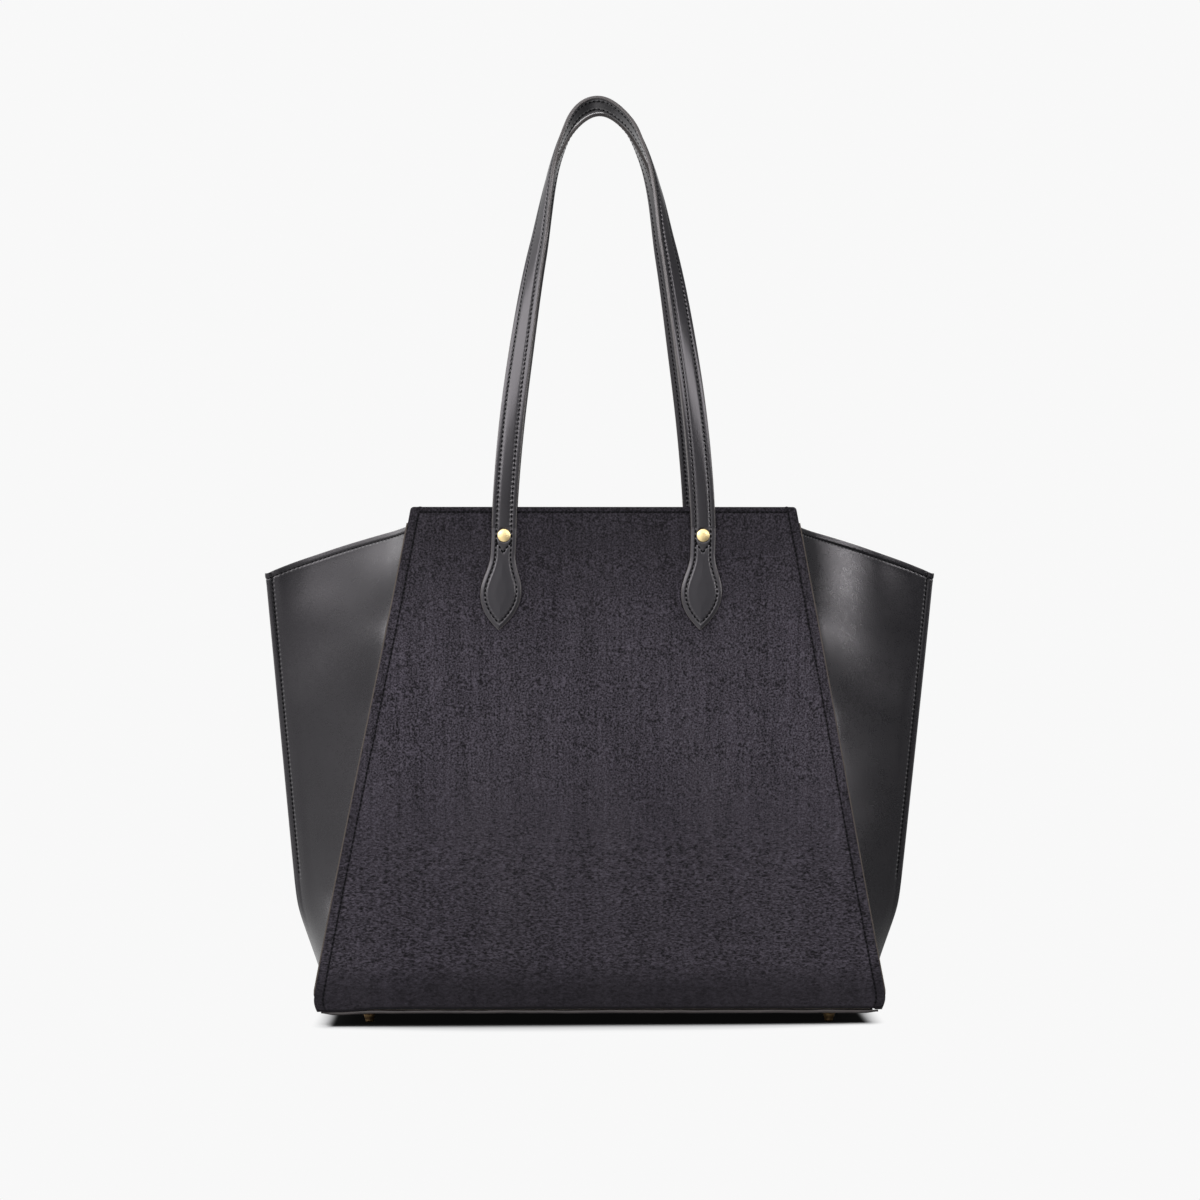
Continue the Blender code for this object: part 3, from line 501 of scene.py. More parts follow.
# %% Thread
def make_thread():
    thread = Finish("waxed_thread", Metallic=0, Specular_IOR_Level=0.06)
    ply = thread.noise(0.5 * MM, 0.5 * MM, 0.3 * MM, detail=1)
    colour = thread.blend(ply, (0.002, 0.002, 0.0025), (0.006, 0.006, 0.007))
    return thread.use(colour, 0.75 + ply * 0.1, ply * 0.05)


THREAD = make_thread()
print("thread:", THREAD.name)


# %% [markdown]
# ## Lining, board and metals
#
# The lining is a plain woven cotton: two waves at right angles make its over and under. The
# board inside is pressed fibre. The rivets are gilt and domed, the feet are an older, darker
# brass, and the snap and washers are nickelled steel. Real metal is never one clean mirror,
# so each one carries fine scratches and slow stains in its roughness.

# %% Lining cloth
def make_lining():
    cloth = Finish("lining_cloth", Metallic=0, Specular_IOR_Level=0.2, Sheen_Weight=0.15)
    x, y, z = (cloth.axis(index) * 1000 for index in range(3))
    warp, weft = (x + y * 0.5).wave(0.9), (z + y * 0.5).wave(0.9)
    slub = cloth.noise(9 * MM, 9 * MM, 0.9 * MM, detail=2)
    weave = warp * weft + (1 - warp) * (1 - weft)
    patch = cloth.noise(30 * MM)
    mixture = weave * 0.5 + slub * 0.3 + patch * 0.2
    colour = cloth.blend(mixture, (0.030, 0.027, 0.031), (0.085, 0.078, 0.086))
    return cloth.use(colour, 0.8 + slub * 0.1, weave * 0.12 + slub * 0.05)


LINING = make_lining()
print("lining:", LINING.name)


# %% Board and metals
def make_board():
    board = Finish("fibre_board", Metallic=0, Specular_IOR_Level=0.2)
    fibre = board.noise(2.5 * MM, 2.5 * MM, 1.0 * MM, detail=4, rough=0.65)
    colour = board.blend(fibre, (0.22, 0.19, 0.155), (0.38, 0.345, 0.30))
    return board.use(colour, 0.85 + fibre * 0.1, fibre * 0.08)


def make_metal(name, low, high, rough, spread, dent):
    """A metal of a mean roughness, how far that varies, and how deep it is dented."""
    metal = Finish(name, Metallic=1.0)
    stain = metal.noise(4 * MM, detail=3, rough=0.6)
    brush = metal.noise(0.5 * MM, 0.5 * MM, 3 * MM)
    colour = metal.blend(stain, low, high)
    roughness = rough + (stain - 0.5) * spread + (brush - 0.5) * spread * 0.5
    return metal.use(colour, roughness, stain * dent + brush * 0.008)


BOARD = make_board()
GILT = make_metal(
    "gilt_brass", (0.88, 0.66, 0.31), (1.0, 0.83, 0.47), rough=0.48, spread=0.16, dent=0.06)
AGED_BRASS = make_metal(
    "aged_brass", (0.20, 0.13, 0.065), (0.72, 0.48, 0.24), rough=0.44, spread=0.25, dent=0.05)
STEEL = make_metal(
    "nickelled_steel", (0.46, 0.45, 0.43), (0.62, 0.61, 0.59), rough=0.28, spread=0.15, dent=0.02)
print("board and metals:", BOARD.name, GILT.name, AGED_BRASS.name, STEEL.name)

# %% [markdown]
# ## One stitch, sewn many times
#
# Stitches are what make leather look sewn, so they are real geometry. One stitch is modelled:
# a short cylinder whose ends are drawn in and pushed down into the leather. Then a
# row of them follows a line of the mesh at an even pitch. All the stitches of a piece share
# one mesh, since hundreds of loose objects would be slow to handle.

# %% Model one stitch
STITCH_LENGTH = 2.5 * MM
STITCH_RADIUS = 0.62 * MM
STITCH_NARROWING = 0.45             # how much thinner the thread is at its ends
STITCH_FLATNESS = 0.62              # its height beside its width
STITCH_DIP = 0.42 * MM              # how deep its ends go into the leather
STITCH_LIFT = 0.12 * MM             # how far its middle line lies above the leather
ROW_END = 0.3                       # what a row leaves free at each end, in stitches


def model_stitch():
    """A six-sided thread that arches over from one hole to the next."""
    bpy.ops.mesh.primitive_cylinder_add(
        vertices=6, radius=STITCH_RADIUS, depth=STITCH_LENGTH, rotation=(0, math.pi / 2, 0))
    stitch = bpy.context.object
    bpy.ops.object.transform_apply(location=False, rotation=True, scale=False)
    edit(stitch)
    for share in (-0.5, 0, 0.5):
        bpy.ops.mesh.select_all(action="SELECT")
        bpy.ops.mesh.bisect(plane_co=(share * STITCH_LENGTH / 2 * 1.3, 0, 0), plane_no=(1, 0, 0))
    bpy.ops.object.mode_set(mode="OBJECT")
    for vertex in stitch.data.vertices:
        end = abs(vertex.co.x) / (STITCH_LENGTH / 2)
        narrow = 1 - STITCH_NARROWING * end ** 3
        vertex.co.y *= narrow
        vertex.co.z = vertex.co.z * STITCH_FLATNESS * narrow - STITCH_DIP * end ** 2
    return stitch


stitch_model = model_stitch()
STITCH_POINTS = np.array([vertex.co[:] for vertex in stitch_model.data.vertices])
STITCH_FACES = [list(face.vertices) for face in stitch_model.data.polygons]
bpy.data.objects.remove(stitch_model)
print("one stitch:", len(STITCH_POINTS), "points,", len(STITCH_FACES), "faces")


# %% Sew a row of them
def walk(path, normals):
    """Points, directions and normals at an even pitch along a line of points."""
    pitch = STITCH_PITCH * MM
    travelled = lengths_along(path)
    count = int((travelled[-1] - 2 * ROW_END * pitch) / pitch)
    stops = (travelled[-1] - count * pitch) / 2 + pitch * np.arange(count + 1)

    def at(values, places):
        return np.stack([np.interp(places, travelled, column) for column in values.T], axis=1)

    ahead = at(path, stops + pitch * 0.2) - at(path, stops - pitch * 0.2)
    return at(path, stops), ahead, at(normals, stops)


def sew(name, rows, body, slot, blend_over=None, size=(1, 1, 1)):
    """Lay the stitch along each row of (path, normals) and join them into one mesh."""
    points, faces = [], []
    for path, normals in rows:
        centres, along, out = walk(path, normals)
        along = unit(along)
        side = unit(np.cross(out, along))
        out = np.cross(along, side)
        for centre, x_axis, y_axis, z_axis in zip(settle(centres), along, side, out):
            first = len(points)
            turned = STITCH_POINTS * size @ np.array([x_axis, y_axis, z_axis])
            points.extend(centre + z_axis * STITCH_LIFT + turned)
            faces.extend([[first + corner for corner in face] for face in STITCH_FACES])
    mesh = bpy.data.meshes.new(name)
    mesh.from_pydata([tuple(point) for point in points], [], faces)
    piece = bpy.data.objects.new(name, mesh)
    bpy.context.scene.collection.objects.link(piece)
    dress(piece, None if blend_over else body, slot, THREAD)
    if blend_over:
        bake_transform(piece)


# %% [markdown]
# ## A flat layer that stands on its panel
#
# Each side of the bag is a stack of flat layers: suede, stiffener, facing and lining. All of
# them are trapezoids that lean back a little. One function lays the grid of any of them, with
# its columns and rows close together near the edges, where seams and corners need them, and
# another stands the grid up on the front or the back of the bag.

# %% Grids of the flat layers
def graded(length, low_margin, high_margin, step):
    """Places along a length: given distances at both ends, even steps between."""
    low, high = np.array(low_margin) * MM, np.array(high_margin) * MM
    start, stop = low[-1], length - high[-1]
    middle = np.linspace(start, stop, max(int((stop - start) / step), 1) + 1)[1:-1]
    return np.concatenate([low, middle, length - high[::-1]])


def corner_trim(from_edge, height, width=None):
    """How much a rounded corner takes off the width, at a distance from the end."""
    into = np.clip(1 - from_edge / height, 0, 1)
    return width * into ** 1.8 if width else height * (1 - np.sqrt(1 - into ** 2))


def lay_out(bottom, top, half_width, radii, side_margin, low_margin, high_margin, step):
    """Across and up of each point of a trapezoid's grid."""
    up = bottom + graded(top - bottom, low_margin, high_margin, step)
    trim = corner_trim(up - bottom, *np.atleast_1d(radii[0])) + corner_trim(top - up, radii[1])
    half = half_width(up) - trim
    margin = np.array(side_margin) * MM
    shares = np.linspace(-1, 1, int(2 * half.mean() / step) + 1)[1:-1]
    left = -(half[:, None] - margin[None, :])
    middle = (half - margin[-1])[:, None] * shares[None, :]
    across = np.concatenate([left, middle, -left[:, ::-1]], axis=1)
    return across, np.broadcast_to(up[:, None], across.shape)


def stand_up(across, up, out, toward):
    """Points of a layer, out from the face of the front (-1) or the back (1) panel."""
    y = BASE_DEPTH / 2 - up * math.sin(PANEL_TILT) + out * math.cos(PANEL_TILT)
    z = PANEL_BOTTOM + up * math.cos(PANEL_TILT) + out * math.sin(PANEL_TILT)
    return np.stack([-toward * across, toward * y, z], axis=-1)


SIDES = (("front", -1), ("back", 1))
HANDS = (("left", -1), ("right", 1))
CORNERS = [(*side, *hand) for side in SIDES for hand in HANDS]
PLAIN_MARGIN = (0, 0.6, 1.5, 3, 5)
print("corners of the bag:", len(CORNERS))

# %% [markdown]
# ## The suede panels
#
# The big panels look flat, but a flat plate looks wrong. Real suede is drawn down along its
# stitch lines, stands up a little between the stitches and the cut edge, and fills out low
# on the bag. At its lower edge it hangs softly over the welt, and one lower corner has sagged.
# These heights are added to the grid before it gets its thickness.

# %% Margins of the suede
SEAM_INSET = 6.0                    # millimetres from the side edges to their stitches
TOP_SEAM = 3.5                      # and from the upper edge to its own
EDGE_MARGIN = (
    0, 0.25, 0.7, 1.3, 2.1, 3.1, 4.1, 4.8, 5.3, 5.7, SEAM_INSET, 6.3, 6.7, 7.2, 8, 9.5, 12, 15)
TOP_MARGIN = (0, 0.25, 0.7, 1.3, 2, 2.6, 3.1, TOP_SEAM, 3.9, 4.4, 5, 6, 7.5, 10)
LOWEST_STITCH = 3.1
LOW_MARGIN = (0, 0.25, 0.7, 1.3, 2.1, LOWEST_STITCH, 4.4, 6, 8)
SUEDE_STEP = 2.6 * MM
HEM = 1.9 * MM                      # how far the soft lower edge hangs over the welt
LOW_CORNER = (9.5 * MM, 3.8 * MM)   # height and width of its rounding
TOP_RADIUS = 2 * MM
SAG = 1.7 * MM                      # how far the lower corner hangs
SAG_RUN = (146 * MM, 172 * MM)      # from the middle, where the sag begins and is full
print("rows and columns stand close beside", len(EDGE_MARGIN), "and", len(TOP_MARGIN), "lines")


# %% Suede panels and their stitches
def suede_relief(flat, up, from_side, from_top, toward):
    """How far the suede stands out of its flat panel, in millimetres."""
    inside = smooth(from_side, SEAM_INSET - 1, SEAM_INSET)
    beside = ridge(from_side - SEAM_INSET, 0.6) * smooth(from_top, TOP_SEAM - 1, TOP_SEAM)
    below = ridge(from_top - TOP_SEAM, 0.6) * inside
    margin = ridge(from_side - 3.2, 1.8) + ridge(from_top - 1.7, 1.0) * inside
    open_field = smooth(from_side, 8, 45) * smooth(up / MM, 3, 60)
    lower = 1 - smooth(up / MM, 150, 262)
    swell = open_field * (lower * (1.0 + 0.5 * ripple(flat, 95 * MM, 3 + toward)) + 0.12)
    return swell + 0.16 * margin - 0.28 * np.maximum(beside, below)


def suede_panel(side, toward):
    across, up = lay_out(
        -HEM, PANEL_HEIGHT, edge_half_width, (LOW_CORNER, TOP_RADIUS), EDGE_MARGIN, LOW_MARGIN,
        TOP_MARGIN, SUEDE_STEP)
    from_side = (across[:, -1:] - np.abs(across)) / MM
    from_top = (PANEL_HEIGHT - up) / MM
    flat = stand_up(across, up, np.zeros_like(across), toward)
    out = suede_relief(flat, up, from_side, from_top, toward)
    sag = smooth(-across, *SAG_RUN) * (1 - smooth(up, 0, 30 * MM)) * SAG
    points = stand_up(across, up - sag, out * MM, toward)
    near_top = np.abs(from_top - TOP_SEAM) < np.abs(from_side - SEAM_INSET)
    near_top &= from_side > SEAM_INSET - 0.8
    seam = np.stack([
        np.where(near_top, from_top - TOP_SEAM, from_side - SEAM_INSET),
        np.where(near_top, across / MM, lengths_along(points) / MM)], axis=-1)
    normals = surface_normals(points)
    add_layer(side + "_suede", points, PANEL_THICKNESS, "suede", SUEDE, side + "_panel", seam)
    column = EDGE_MARGIN.index(SEAM_INSET)
    row = -1 - TOP_MARGIN.index(TOP_SEAM)
    rows = slice(LOW_MARGIN.index(LOWEST_STITCH), row + 1)
    lines = ((rows, column), (rows, -1 - column), (row, slice(column, -column)))
    sew(side + "_suede_stitches", [(points[line], normals[line]) for line in lines], "bag", "suede")


for side, toward in SIDES:
    suede_panel(side, toward)

# %% [markdown]
# ## The wings
#
# On each side one sheet of leather runs from the front seam, round a fold, out to the wing's
# pinched edge and back again. Higher up the two halves are stitched flat together a little
# inside the edge, and low down the fold opens into a round nose over the base. The upper
# edge is turned over and stitched. The outline in plan is worked out at every height, as a
# pattern cutter would with a set of templates, and soft dents are added in the open field.

# %% Outline of a wing, in plan
GUSSET_THICKNESS = 1.4 * MM
GUSSET_BOTTOM = 10.1 * MM
SEAM_ALLOWANCE = 6.5 * MM
FLANGE_REVEAL = 0.9 * MM            # what shows of the raw edge beside the suede
FOLD_RADIUS = 1.2 * MM
WING_TIP_HEIGHT = PANEL_TOP - 43.6 * MM
WING_CORNER_HEIGHT = PANEL_TOP - 10.7 * MM
WING_RIM_HALF_WIDTH = 228.8 * MM
WING_BEND_HEIGHT = 73.5 * MM        # where the outer edge turns in toward the base
WING_BEND_HALF_WIDTH = 203.7 * MM
WING_BASE_HALF_WIDTH = 180.1 * MM
WING_BEND_SOFTNESS = 1.2 * MM
WING_CROWN_SHARE = 0.24             # how much the upper edge bows on its way to the panel
PINCH = 0.95 * MM                   # from the middle of the wing to a wall at its pinched edge
PINCH_HEIGHTS = (45 * MM, 112 * MM)  # between these the round nose closes to a pinched edge
HELD_HEIGHTS = (15 * MM, 88 * MM)   # and between these the walls take their flatter form
NOSE_POWER, WALL_POWER = 0.58, 1.00
RETURN_POWER = 30                   # how sharply a wall returns to its fold


def panel_half_width(z):
    return edge_half_width((z - PANEL_BOTTOM) / math.cos(PANEL_TILT))


def wing_tip_x(z):
    """Half the bag's width at a height, to the wing's outer edge."""
    upper = (WING_RIM_HALF_WIDTH - WING_BEND_HALF_WIDTH) / (PANEL_TOP - WING_BEND_HEIGHT)
    lower = (WING_BEND_HALF_WIDTH - WING_BASE_HALF_WIDTH) / (WING_BEND_HEIGHT - GUSSET_BOTTOM)
    first = WING_BEND_HALF_WIDTH + upper * (z - WING_BEND_HEIGHT)
    second = WING_BEND_HALF_WIDTH + lower * (z - WING_BEND_HEIGHT)
    return (first + second - np.hypot(first - second, 2 * WING_BEND_SOFTNESS)) / 2


def pinched_share(z):
    return smooth(z, *PINCH_HEIGHTS)


def wing_profile(z, share):
    """Depth of the wall from the pinched edge (0) to the fold (1), as a share of its full depth.

    It is a smooth bow at the rim. Lower down the wall is flatter and returns sharply to the
    fold behind the suede, and at the base it opens into the round nose.
    """
    upper, middle = smooth(z, 262 * MM, 318 * MM), smooth(z, 205 * MM, 262 * MM)
    held = smooth(z, *HELD_HEIGHTS)
    power = NOSE_POWER + (WALL_POWER + 0.50 * middle + 0.50 * upper - NOSE_POWER) * held
    returned = (0.40 - 0.16 * middle) * (1 - upper) * held
    depth = (1 - returned) * share ** power + returned * share ** RETURN_POWER
    slope = (1 - returned) * power + returned * RETURN_POWER
    return depth, slope


def wing_top(share):
    """Height of the upper edge, from the tip (0) to the panel's seam (1)."""
    rise = WING_CORNER_HEIGHT - WING_TIP_HEIGHT
    return WING_TIP_HEIGHT + rise * ((1 + WING_CROWN_SHARE) * share - WING_CROWN_SHARE * share ** 2)


def fold_point(z, share):
    """A point round the fold, from the seam's flange (0) to the wing's wall (1)."""
    x = panel_half_width(z) - SEAM_ALLOWANCE
    y = panel_face_y(z) - PANEL_THICKNESS - GAP - GUSSET_THICKNESS / 2 - FOLD_RADIUS
    sweep = math.pi - np.arctan2(wing_profile(z, 1.0)[1] * y, wing_tip_x(z) - x)
    angle = math.pi / 2 + sweep * share
    return x + FOLD_RADIUS * np.cos(angle), y + FOLD_RADIUS * np.sin(angle)


def flange_edge_x(z):
    """Outer edge of the flange, which follows the panel's rounded lower corner."""
    hidden = 1 - smooth(z, 14 * MM, 24 * MM)
    return panel_half_width(z) + FLANGE_REVEAL - hidden * 0.9 * MM - corner_trim(
        np.maximum(z - PANEL_BOTTOM, 0), *LOW_CORNER)


def wall_point(z, share):
    """A point on the wing's wall, from the pinched edge (0) to the fold (1)."""
    corner_x, corner_y = fold_point(z, 1)
    edge_x = wing_tip_x(z) - PINCH * pinched_share(z)
    x = edge_x - (edge_x - corner_x) * share
    return x, PINCH + (corner_y - PINCH) * wing_profile(z, share)[0]


heights = np.array([0.05, 0.15, 0.28])
print("half width at the wings:", np.round(wing_tip_x(heights) / MM, 1), "mm")

# %% Lay out the wings
BAND = 3.7                          # millimetres from the upper edge to its stitches
PINCH_SEAM = 3.5                    # and from the pinched edge to its own
KNOT_HEIGHT = 91 * MM               # where the pinched edge's stitches begin
WING_TOP_ROWS = (0, 0.25, 0.6, 1.1, 1.8, 2.5, 3.0, 3.4, BAND, 4.0, 4.4, 5.0, 6.0, 8.0)
LOWER_ROWS = np.linspace(0, 1, 96)[:-1] ** 1.08
FLANGE_PARTS = (0, 0.115, 0.35, 0.7)
FOLD_COLUMNS = 9
WALL_START = len(FLANGE_PARTS) + FOLD_COLUMNS
SHARE_COLUMNS = 44
PINCH_COLUMNS = (0, 0.5, 1.1, 1.7, 2.2, 2.6, 3.0, 3.4, 3.9, 4.4, 4.9, 5.5, 6.4, 8.0, 10.5)
PINCH_WALL = 70                     # these are millimetres on a wall that is so wide
NOSE_TURNS = np.linspace(math.pi / 2, 0, 4)[1:]


def wall_shares():
    """Columns of a wall from the fold (1) to the pinched edge (0), closer toward both."""
    pinched = np.array(PINCH_COLUMNS[::-1]) * MM / (PINCH_WALL * MM)
    even = np.linspace(1, 0, SHARE_COLUMNS + 1)
    crowded = 0.6 * even + 0.2 * (1 - np.cos(math.pi * even))
    return [*(pinched[0] + (1 - pinched[0]) * crowded)[1:-1], *pinched]


def wing_columns(z_of):
    """Half of a wing's columns, from the flange's edge to the middle of its nose."""
    z = z_of(1.0)
    edge, (fold_x, flange_y) = flange_edge_x(z), fold_point(z, 0)
    columns = [(edge + (fold_x - edge) * part, flange_y, z) for part in FLANGE_PARTS]
    columns += [(*fold_point(z, part), z) for part in np.linspace(0, 1, FOLD_COLUMNS)]
    for share in wall_shares():
        z = z_of(share)
        columns.append((*wall_point(z, share), z))
    z = z_of(0.0)
    pinched = PINCH * pinched_share(z)
    for turn in NOSE_TURNS:
        x = wing_tip_x(z) - pinched * (1 - math.cos(turn))
        columns.append((x, PINCH * math.sin(turn) + 0 * z, z))
    return columns


def wing_rows(share):
    """Heights of a column's points, measured from its own upper edge."""
    top = wing_top(share)
    below = np.array(WING_TOP_ROWS[::-1]) * MM
    return np.concatenate([
        GUSSET_BOTTOM + (top - below[0] - GUSSET_BOTTOM) * LOWER_ROWS, top - below])


half_wing = np.array([np.stack(column, axis=-1) for column in wing_columns(wing_rows)])
front_half = half_wing.transpose(1, 0, 2) * (1, -1, 1)
back_half = front_half[:, ::-1][:, 1:] * (1, -1, 1)
RIGHT_WING = np.concatenate([front_half, back_half], axis=1)
HALF_COLUMNS = front_half.shape[1]
NOSE_COLUMN = HALF_COLUMNS - 1
LAST_COLUMN = RIGHT_WING.shape[1] - 1
BAND_ROW = RIGHT_WING.shape[0] - 1 - WING_TOP_ROWS.index(BAND)
print("points in a wing:", RIGHT_WING.shape[0] * RIGHT_WING.shape[1])


# %% Shape the wings' surface
def mirrored(points):
    """The same sheet on the left side, still facing out."""
    return points[:, ::-1] * (-1, 1, 1)


def from_wing_edge(points):
    """Distance of a wing's points from its pinched edge, in millimetres."""
    return (wing_tip_x(points[..., 2]) - np.abs(points[..., 0])) / MM


def wing_shape(seed):
    """Middle surface of a wing with its dents, bands and seams, and the seam map."""
    base = RIGHT_WING.copy()
    z = base[..., 2]
    from_top, from_edge = (z[-1:] - z) / MM, from_wing_edge(base)
    from_fold = np.abs(np.abs(base[..., 1]) - np.abs(base[:, :1, 1])) / MM
    column = np.arange(base.shape[1])
    on_flange = np.minimum(column, column[::-1]) < WALL_START - 1
    wall = np.where(on_flange, 0.0, 1.0)
    held = pinched_share(z)
    field = smooth(from_edge, 6, 30) * smooth(from_fold, 2, 16) * smooth(z / MM, 16, 60) * wall
    field *= 0.35 + 0.65 * smooth(from_top, 2, 26)
    dents = ripple(base, 78 * MM, seed) * 1.5 + ripple(base, 31 * MM, seed + 5) * 0.35
    seam_line = ridge(from_edge - PINCH_SEAM, 0.75) * held * wall
    swell = ridge(from_edge - 8, 3.6) * held * wall * 0.45
    swell = swell + ridge(from_edge - 1.8, 1.0) * held * wall * 0.22
    band = smooth(from_top, BAND + 0.1, BAND - 0.7) * 0.38 - ridge(from_top - BAND, 0.6) * 0.22
    band = band * wall + ridge(from_top - BAND - 1.5, 0.8) * 0.14 * wall
    lean = 4.5 * np.clip(1 - from_top / 80, 0, 1) ** 2
    lean *= smooth(from_fold, 0, 24) * smooth(from_edge, 4, 40) * wall
    out = dents * field - 0.42 * seam_line + swell + band - lean
    points = base + surface_normals(base) * (out * MM)[..., None]
    points[:, NOSE_COLUMN, 1] = 0
    low = z < KNOT_HEIGHT
    use_top = (np.abs(from_top - BAND) < np.abs(from_edge - PINCH_SEAM)) | low
    across = np.where(use_top, from_top - BAND, from_edge - PINCH_SEAM)
    across = np.where(on_flange[None, :] | (low & (from_top > 10)), NO_SEAM, across)
    along = np.where(use_top, lengths_along(points[-1])[None, :] / MM, z / MM)
    return points, np.stack([across, along], axis=-1)


# %% Wings and their stitches
def pinched_row(sheet, from_edge, row, columns):
    """Where one row of a wing crosses the stitch line beside its pinched edge."""
    return [np.interp(PINCH_SEAM, from_edge[row, columns], sheet[row, columns, axis])
            for axis in range(3)]


def wing(hand, points, seam):
    add_layer(
        hand + "_wing", points, GUSSET_THICKNESS, "smooth_leather", LEATHER, hand + "_gusset",
        seam, offset=0, rounding=0.35 * MM)
    normals = surface_normals(points)
    outer = points + normals * GUSSET_THICKNESS / 2
    rows = [(outer[BAND_ROW, columns], normals[BAND_ROW, columns]) for columns in (
        slice(WALL_START, NOSE_COLUMN - 4),
        slice(LAST_COLUMN - NOSE_COLUMN + 5, LAST_COLUMN - WALL_START + 1))]
    from_edge = from_wing_edge(points)
    lowest = int(np.searchsorted(points[:, NOSE_COLUMN, 2], KNOT_HEIGHT))
    wall = np.arange(NOSE_COLUMN, WALL_START, -1)
    for columns in (wall, LAST_COLUMN - wall):
        rows.append([
            np.array([pinched_row(sheet, from_edge, row, columns)
                      for row in range(lowest, BAND_ROW + 1)])
            for sheet in (outer, normals)])
    sew(hand + "_wing_stitches", rows, "bag", "smooth_leather")


WINGS = {}
for hand, seed in (("left", 23), ("right", 11)):
    points, seam = wing_shape(seed)
    if hand == "left":
        points, seam = mirrored(points), seam[:, ::-1]
    WINGS[hand] = points
    wing(hand, points, seam)


# %% Raw edges that show beside the suede
def bare_edge(hand):
    """Give the cut edge of a wing's flange the finish of raw leather."""
    piece = bpy.data.objects[hand + "_wing"]
    piece.data.materials.append(RAW_EDGE)
    count = 0
    for face in piece.data.polygons:
        x, y, z = centre = np.array(face.center)
        upright_x = 2 * x - settle(centre)[0]
        across = abs(upright_x) - panel_half_width(z)
        if across > 0.05 * MM and abs(y) > panel_face_y(z) - 6 * MM:
            face.material_index = 1
            count += 1
    print(f"{piece.name}: {count} raw edge faces")


for hand in WINGS:
    bare_edge(hand)

# %% [markdown]
# ## Linings of the wings
#
# Inside, each wing is lined with cloth. A lining that went all the way into the pinched edge
# would bunch up, so a maker turns it back where the wing gets narrow. The wing's own points
# are used again, moved into the bag by the leather's half thickness and a small gap.

# %% Wing linings
LINING_OFFSET = GUSSET_THICKNESS / 2 + GAP + LINING_THICKNESS / 2
LINING_REACH = 0.52                 # share of a wall's columns at which the cloth turns back
LINING_DROP = 4.0 * MM              # how far its upper edge stays below the leather's
TURN_PARTS = np.linspace(0, 1, 12)[1:-1]


def wing_lining(hand, sign):
    points = WINGS[hand]
    moved = points - surface_normals(points) * LINING_OFFSET
    first = WALL_START - 1
    stop = first + int((HALF_COLUMNS - first) * LINING_REACH)
    near, far = moved[:, first:stop], moved[:, LAST_COLUMN - stop + 1:LAST_COLUMN - first + 1]
    ends, starts = near[:, -1], far[:, 0]
    half = np.abs(ends[:, 1] - starts[:, 1]) / 2
    tip = np.abs(points[:, NOSE_COLUMN, 0])
    slope = np.clip((tip - np.abs(ends[:, 0])) / np.maximum(half, MM), 0, 1)
    turn = []
    for part in TURN_PARTS:
        between = ends * (1 - part) + starts * part
        between[:, 0] += sign * (half * slope * 0.75 * (1 - (1 - 2 * part) ** 2))
        turn.append(between)
    grid = np.concatenate([near, np.stack(turn, axis=1), far], axis=1)[3:]
    for row in range(1, 14):
        grid[-row, :, 2] -= LINING_DROP * (1 - (row - 1) / 13)
    add_layer(
        hand + "_wing_lining", grid, LINING_THICKNESS, "lining_fabric", LINING,
        hand + "_gusset_lining", offset=0, rounding=0)


for hand, sign in HANDS:
    wing_lining(hand, sign)

# %% [markdown]
# ## Inside the bag
#
# A strip of leather faces the inside of each rim. It is folded over the stiffener, so that
# from above the rim is one closed edge. Below it hangs the cloth lining, and on the back
# there is a slip pocket whose mouth stands open a little.

# %% Facings
FACING_SEAMS = (TOP_SEAM, PANEL_HEIGHT / MM - 295.3)  # millimetres below the rim
FACING_PATH = np.array(
    [(3.9, height) for height in (292.3, 292.6, 293.2, 294.3, 295.3, 296.0, 297.5)]
    + [(3.9, height) for height in np.linspace(300, 325, 11)] + [(3.9, 326.1), (3.9, 327.0)]
    + [(2.8 + 1.1 * math.cos(angle), 328.2 + 1.1 * math.sin(angle))
       for angle in np.linspace(0, math.pi / 2, 6)] + [(2.2, 329.3), (1.75, 329.3)])
FACING_COLUMNS = np.concatenate([
    [-1, -0.996, -0.99], np.linspace(-0.98, 0.98, 90), [0.99, 0.996, 1]])


def layer_half_width(up):
    return edge_half_width(up) - LAYER_INSET


def facing(side, toward):
    """A strip that climbs the inside of the rim, turns over its top and closes at its ends."""
    depth, up = FACING_PATH.T * MM
    across = layer_half_width(up)[:, None] * FACING_COLUMNS[None, :]
    depth, up = (np.broadcast_to(values[:, None], across.shape) for values in (depth, up))
    drawn_in = smooth(np.abs(FACING_COLUMNS), 0.98, 0.996)[None, :]
    depth = depth - drawn_in * 0.5 * MM * (depth > 3.8 * MM)
    up = up - drawn_in * 1.2 * MM * smooth(up, 326 * MM, 329 * MM)
    from_top = (PANEL_HEIGHT - up) / MM
    from_low_seam = (up - up.min()) / MM - 3.0
    dip = 0.2 * (ridge(from_top - TOP_SEAM, 0.7) + ridge(from_low_seam, 0.7))
    points = stand_up(across, up, dip * (depth > 3.3 * MM) * MM - depth, toward)
    seam = np.stack([
        np.where(from_top < 15, np.abs(from_top - TOP_SEAM), from_low_seam), across / MM], axis=-1)
    add_layer(
        side + "_rim_facing", points, FACING_THICKNESS, "smooth_leather", LEATHER,
        side + "_facing", seam, offset=0, rounding=0.25 * MM)
    inward = -surface_normals(points)
    rows = [int(np.argmin(np.abs(from_top[:, 0] - wanted))) for wanted in FACING_SEAMS]
    sew(side + "_facing_stitches",
        [(points[row] + inward[row] * FACING_THICKNESS / 2, inward[row]) for row in rows],
        "bag", "smooth_leather")


for side, toward in SIDES:
    facing(side, toward)


